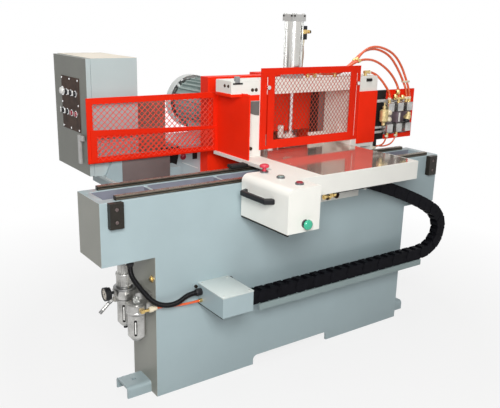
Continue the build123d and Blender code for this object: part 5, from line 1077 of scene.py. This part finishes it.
# the panel's lip in the brighter red of painted light
blocks("panel_lip", "carriage", lit_red_enamel, ((561, 130, 885), (685, 135.8, 895.5)), edge=0.6)

# Under the front skirt: an apron with fittings, a rubber edge, and a wiper over the bed
APRON_FRONT = -112
APRON_FITTINGS = ((146, 724), (176, 722), (202, 728))
APRON_RINGS = ((161, 722), (216, 722))
APRON_RING = ((14, 0), (14, 6), (9, 7), (9, 1))
blocks("apron", "carriage", white_enamel, ((120, APRON_FRONT, 701), (356, -106.5, 866)))
build("apron_fittings", "carriage", brass,
      *((bolt, (x, APRON_FRONT, z), FRONT, 9) for x, z in APRON_FITTINGS))
build("apron_rings", "carriage", panel_brown,
      *((turned, (x, APRON_FRONT, z), FRONT, APRON_RING) for x, z in APRON_RINGS))
blocks("skirt_edge", "carriage", rubber, ((24, -298.5, 796.5), (330, -293.5, 800.5)))
blocks("way_wiper", "carriage", rubber, ((-236, 58, 857.5), (-151.5, 100, 873)), edge=4)

# Valves: bodies in sections, given by their heights and inset, a black plate of painted shade and rails
# beside them, and a silencer
VALVE_XS = (760, 828, 896)
VALVE_HALF = 21
VALVE_SECTIONS = ((0, 44, 0), (47, 104, 4), (107, 150, 0))
VALVE_FRONT = 96
VALVE_BACK = 141.5
VALVE_EDGE = 2
PLATE_DEPTH = (138, 142)
PLATE_RIGHT = 35
PLATE_EDGE = 0.6
SILENCER = ((4, -18), (4, -2), (9, 0), (10, 8), (8, 14), (16, 18), (22, 24), (22, 74), (17, 80), (9, 82),
            (9, 96), (6, 100))
PANEL_GAP_LEFT = 687
valve_low, valve_high = limits("valve_block")
panel_high = limits("valve_panel")[1]
light_forms = [(box, (VALVE_XS[0] - VALVE_HALF, PLATE_DEPTH[0], valve_low.z),
                (panel_high.x - PLATE_RIGHT, PLATE_DEPTH[1], valve_high.z), PLATE_EDGE)]
dark_forms = []
for valve_x in VALVE_XS:
    for section_low, section_high, inset in VALVE_SECTIONS:
        forms = dark_forms if inset else light_forms
        forms.append((
            box, (valve_x - VALVE_HALF + inset, VALVE_FRONT + 2 * inset, valve_low.z + section_low),
            (valve_x + VALVE_HALF - inset, VALVE_BACK, valve_low.z + section_high), VALVE_EDGE))
build("valve_bodies", "carriage", unit_zinc, *light_forms, replaces=["valve_block"])
build("valve_middles", "carriage", valve_plum, *dark_forms)
blocks("valve_covers", "carriage", lamp_white, *(
    ((valve_x - 4, VALVE_FRONT + 5, valve_low.z + 52), (valve_x + 6, VALVE_FRONT + 8, valve_low.z + 98))
    for valve_x in VALVE_XS[1:]))
# a black plate in the gap beside the red panel: painted shade
blocks("panel_shade_plate", "carriage", recess_black, ((PANEL_GAP_LEFT, 139, 893), (757, 142, panel_high.z - 1)),
       ((PANEL_GAP_LEFT, 140, 846), (714, 152, 893)))
blocks("panel_rails", "carriage", cap_aluminium, ((PANEL_GAP_LEFT, 128, 1084), (836, 139, 1098)),
       ((PANEL_GAP_LEFT, 130, 950), (738, 139, 962)), ((PANEL_GAP_LEFT, 130, 926), (738, 139, 938)))
build("silencer", "carriage", bronze, (turned, (724, 112, 1066), DOWN, SILENCER, 28))

# Fittings at the valves and at the hoses' ends, and what holds the hoses together
BALLS = ((746, VALVE_FRONT + 8, 1000), (746, VALVE_FRONT + 8, 1034))
BALL = ((8, 0), (13, 4), (14, 10), (11, 17), (5, 20))
SPARES = ((684, 141, 851), (684, 167, 851), (684, 193, 851))
SPARE = ((9, 0), (9, 14), (7, 18), (7, 24))
SLEEVE = ((8.8, -2), (9.4, 0), (9.4, 6), (7, 9))
TEE_PLACE = (872, 90, 984)
TEE_LEAN = Vector((0.28, 0, 0.96))
TEE = ((10, 8), (15, 10), (16, 30), (11, 36), (11, 48))
TEE_NUT = ((16, -4), (17, 0), (17, 6), (15, 9))
TEE_STEM = ((8, 0), (8, 12))
ELBOWS = ((796, 112, 1099), (812, 112, 1121), (850, 112, 1093))
ELBOW = ((6, 0), (11, 5), (12.5, 12), (11, 20), (5, 25))
CLIP_X = 556
CLIP = ((7, -9), (9, -7.5), (9, 7.5), (7, 9))
sleeves = []
for route in (*MAIN_HOSES.values(), *SMALL_HOSES.values()):
    for end, inward in (route[:2], route[:-3:-1]):
        sleeves.append((turned, end, (Vector(inward) - Vector(end)).normalized(), SLEEVE, 20))
build("push_fittings", "carriage", cream_plastic, *((turned, place, FRONT, BALL) for place in BALLS),
      *sleeves, *((turned, place, RIGHT, SPARE, 20) for place in SPARES))
build("tee_fitting", "carriage", bronze, (turned, TEE_PLACE, TEE_LEAN, TEE),
      (turned, (872, 94, 1004), BACK, TEE_STEM, 18))
build("tee_nut", "carriage", black_plastic, (turned, TEE_PLACE, TEE_LEAN, TEE_NUT))
build("brass_tees", "carriage", brass, *((turned, place, UP, ELBOW) for place in ELBOWS),
      (box, (782, 106, 1096), (866, 118, 1106), 2))
clips = []
for hose_name in ("hose_outer", "hose_twin", "hose_middle"):
    line = route_line(MAIN_HOSES[hose_name])
    near = min(range(1, len(line)), key=lambda number: abs(line[number].x / MM - CLIP_X))
    clips.append((turned, line[near] / MM, (line[near] - line[near - 1]).normalized(), CLIP, 20))
build("bundle_clip", "carriage", brass, *clips)
blocks("hose_tie", "carriage", cream_plastic, ((860, 116, 1178), (902, 142, 1188)), edge=3)

# Clamp cylinder: its tube, tie rods, nuts and screws, and its flow control
CAP = 30
CAP_MARGINS = (1, 4)
NUT_SEAT = 4.5
CAP_HALF = 37.5
ROD_REACH = 28.25
TUBE_REACH = 36.5
CAP_SCREW_DROP = 11
ROD_NUT = ((6.8, 0), (6.8, 3.6), (5.6, 4.4))
FLOW = Vector(CLAMP_TUBE[0])
FLOW_REACH = 56
FLOW_HALF = 13.5
FLOW_ENDS = ((-9, 17), (35, 52.5))
FLOW_MIDDLE = 26
FLOW_SCREW = ((10, 8), (10, 20), (6, 22), (6, 28), (8.5, 29), (8.5, 34), (7, 35))
FLOW_KNOB = ((4, 35), (7.5, 36), (7.5, 42), (5, 44))
FLOW_SLEEVE = ((8, 0), (8, 21), (6, 25), (6, 37))
clamp_x = FLOW.x - FLOW_REACH
clamp_y = FLOW.y
cap_top = limits("clamp_cylinder")[1].z
flow_middle = FLOW + UP * FLOW_MIDDLE


def between_caps(centre):
    """Whether a face of the clamp cylinder is between its end caps."""
    return portal_high.z + CAP - CAP_MARGINS[0] < centre.z < cap_top - CAP - CAP_MARGINS[1]


def off_axis(centre):
    """How far a face's centre lies from the clamp cylinder's axis."""
    return Vector((centre.x - clamp_x, centre.y - clamp_y)).length


dress("clamp_cylinder", cap_aluminium, 1,
      (drawn_aluminium, lambda centre: between_caps(centre) and off_axis(centre) < TUBE_REACH),
      (cast_aluminium, lambda centre: between_caps(centre) and off_axis(centre) > TUBE_REACH))
blocks("flow_ends", "carriage", black_plastic, *(
    (FLOW + Vector((-FLOW_HALF, -FLOW_HALF, low)), FLOW + Vector((FLOW_HALF, FLOW_HALF, high)))
    for low, high in FLOW_ENDS), edge=2.5)
build("flow_screw", "carriage", brass, (turned, flow_middle, RIGHT, FLOW_SCREW, 20))
cap_middle = Vector((clamp_x, clamp_y, cap_top - CAP_SCREW_DROP))
build("clamp_nuts", "carriage", black_oxide, (turned, flow_middle, RIGHT, FLOW_KNOB, 20),
      *((turned, (nut_x, nut_y, cap_top - NUT_SEAT), UP, ROD_NUT, 6)
        for nut_x in (clamp_x - ROD_REACH, clamp_x + ROD_REACH)
        for nut_y in (clamp_y - ROD_REACH, clamp_y + ROD_REACH)),
      *((socket, cap_middle + outward * CAP_HALF + outward.cross(UP) * reach, outward, 4)
        for outward in (FRONT, BACK, LEFT, RIGHT) for reach in (-ROD_REACH, ROD_REACH)))
build("flow_sleeve", "carriage", cream_plastic, (turned, FLOW, DOWN, FLOW_SLEEVE, 20))

# Mushroom buttons: each one's body, its paint, the way it faces and its stem's length
MUSHROOM = ((0.3, -0.55), (0.34, -0.1), (0.9, 0), (1, 0.12), (1, 0.3), (0.9, 0.5), (0.65, 0.64), (0.3, 0.7))
MUSHROOM_HEIGHT = 0.7
STEM_RADIUS = 8
MUSHROOMS = (
    ("estop", crimson, UP, 40),
    ("cycle", cycle_green, FRONT, 26),
)
for body, button_paint, outward, stem in MUSHROOMS:
    button_low, button_high = limits(f"{body}_button")
    button_radius = (button_high.x - button_low.x) / 2
    button_middle = (button_low + button_high) / 2
    button_half = abs((button_high - button_low).dot(outward)) / 2
    head = button_middle + outward * (button_half - MUSHROOM_HEIGHT * button_radius)
    foot = button_middle - outward * button_half
    build(f"{body}_mushroom", body, button_paint,
          (turned, head, outward, scaled(MUSHROOM, button_radius, button_radius), 36),
          (turned, foot, outward, ((STEM_RADIUS, 0), (STEM_RADIUS, stem))), replaces=[f"{body}_button"])

# Expanded mesh of the guards
STRAND_DEPTH = 2
STRAND_LEAN = 0.5


def strand(shape, start, end, rise, width):
    """Add one strand of mesh, a flat bar that leans across the sheet."""
    across = (end - start).normalized().cross(BACK) * (width / 2)
    deep = BACK * (STRAND_DEPTH / 2)
    lean = BACK * (rise * STRAND_LEAN)
    skin(shape, [
        (point - across - deep, point + across - deep, point + across + deep, point - across + deep)
        for point in (start - lean, end + lean)])


def lattice(shape, low, high, y, pitch, width, drop=0):
    """Add the crossed strands of a mesh that fills a window, whose top edge drops towards the right."""
    columns = 2 * round((high[0] - low[0]) / pitch[0])
    rows = 2 * round((high[1] - low[1]) / pitch[1])

    def knot(column, row):
        height = high[1] - low[1] - drop * column / columns
        return Vector((low[0] + (high[0] - low[0]) * column / columns, y, low[1] + height * row / rows))

    for column in range(columns):
        for row in range(column % 2, rows + 1, 2):
            for rise in (-1, 1):
                if 0 <= row + rise <= rows:
                    strand(shape, knot(column, row), knot(column + 1, row + rise), rise, width)


FRONT_STRAND = 1.2
FRONT_PITCH = (21, 27)
SIDE_STRAND = 2.4
SIDE_PITCH = (26, 25)
SIDE_BAR = 25
SIDE_BAND = (104, 117)
SIDE_DEPTH = 3
SCREEN_LOW = (39, 10)
SCREEN_HIGH = (19, 114)
SCREEN_DROP = 10
SCREEN_DEPTH = 8.5
front_low, front_high = limits("front_guard_mesh")
side_low, side_high = limits("left_guard_frame")
side_windows = (
    (side_low.z + SIDE_BAR, side_low.z + SIDE_BAND[0]),
    (side_low.z + SIDE_BAND[1], side_high.z - SIDE_BAR),
)
# the front guard's wire in the darker red of painted shade
build("front_guard_lattice", "front_guard", wire_painted_shade,
      (lattice, (front_low.x, front_low.z), (front_high.x, front_high.z), (front_low.y + front_high.y) / 2,
       FRONT_PITCH, FRONT_STRAND), replaces=["front_guard_mesh"])
# the side guard's mesh in the lighter red of painted glint
build("left_guard_lattice", "carriage", mesh_painted_glint,
      *((lattice, (side_low.x + SIDE_BAR, window_low), (side_high.x - SIDE_BAR, window_high),
         side_high.y - SIDE_DEPTH, SIDE_PITCH, SIDE_STRAND) for window_low, window_high in side_windows),
      (lattice, (side_low.x + SCREEN_LOW[0], side_low.z + SCREEN_LOW[1]),
       (side_high.x - SCREEN_HIGH[0], side_low.z + SCREEN_HIGH[1]), side_high.y - SCREEN_DEPTH, SIDE_PITCH,
       SIDE_STRAND, SCREEN_DROP), replaces=["left_guard_mesh"])

# Stage: white to the eye and in reflections, pale to the light that bounces, with the object's shadow near it
FLOOR_CORNERS = [(-8, -6, 0), (10, -6, 0), (10, 12, 0), (-8, 12, 0)]
FLOOR_PALE = 0.5
SHADOW_MIDDLE = (0, 0.2, 0)
SHADOW_REACH = (1.1, 2.4)
SHADOW_SHARE = 0.17
AMBIENT = 0.12
LAMPS = (
    ("key_lamp", (-1.75, -2.4, 2.1), (0, 0, 0.7), 1.2, 94, (1, 0.99, 0.97)),
    ("top_lamp", (0.1, 0.1, 3.6), (0.1, 0.1, 0), 2.6, 50, (1, 0.96, 0.9)),
    ("back_lamp", (0.3, 4.2, 0.9), (0, 0.5, 0.7), 1.6, 40, (1, 1, 1)),
)


def seen_by_eye(tree):
    """A number that is 1 for rays from the camera, reflections and glass, and 0 for bounced light."""
    rays = shader_node(tree, "LightPath").node.outputs
    seen = rays["Is Camera Ray"]
    for kind in ("Is Glossy Ray", "Is Transmission Ray"):
        seen = shader_node(tree, "Math", {0: seen, 1: rays[kind]}, operation="MAXIMUM")
    return seen


floor_mesh = bpy.data.meshes.new("floor")
floor_mesh.from_pydata(FLOOR_CORNERS, [], [(0, 1, 2, 3)])
put("floor", floor_mesh)
floor_paint = surface("floor", (FLOOR_PALE, FLOOR_PALE, FLOOR_PALE), 0.8, mottle=0.01)
floor_mesh.materials.append(floor_paint)
tree = floor_paint.node_tree
floor_place = shader_node(tree, "TexCoord", output="Object")
from_middle = shader_node(
    tree, "VectorMath", {0: floor_place, 1: SHADOW_MIDDLE}, "Value", operation="DISTANCE")
whiteness = shader_node(
    tree, "MapRange", {"Value": from_middle, "From Min": SHADOW_REACH[0], "From Max": SHADOW_REACH[1],
                       "To Min": 1 - SHADOW_SHARE})
shown = shader_node(tree, "Math", {0: whiteness, 1: seen_by_eye(tree)}, operation="MULTIPLY")
glow = shader_node(tree, "Emission", {"Color": WHITE, "Strength": 1})
mixed = shader_node(tree, "MixShader", {0: shown, 1: tree.nodes["Principled BSDF"].outputs["BSDF"], 2: glow})
set_inputs(tree, tree.nodes["Material Output"], {"Surface": mixed})

world = bpy.data.worlds.new("studio")
world.use_nodes = True
tree = world.node_tree
level = shader_node(tree, "MapRange", {"Value": seen_by_eye(tree), "To Min": AMBIENT})
set_inputs(tree, tree.nodes["Background"], {"Color": WHITE, "Strength": level})
bpy.context.scene.world = world

for lamp_name, lamp_place, aim, size, power, color in LAMPS:
    lamp_data = bpy.data.lights.new(lamp_name, "AREA")
    lamp_data.size = size
    lamp_data.energy = power
    lamp_data.color = color
    lamp = put(lamp_name, lamp_data)
    lamp.location = lamp_place
    lamp.rotation_euler = (Vector(aim) - Vector(lamp_place)).to_track_quat("-Z", "Y").to_euler()
bpy.context.scene.view_settings.view_transform = "Standard"
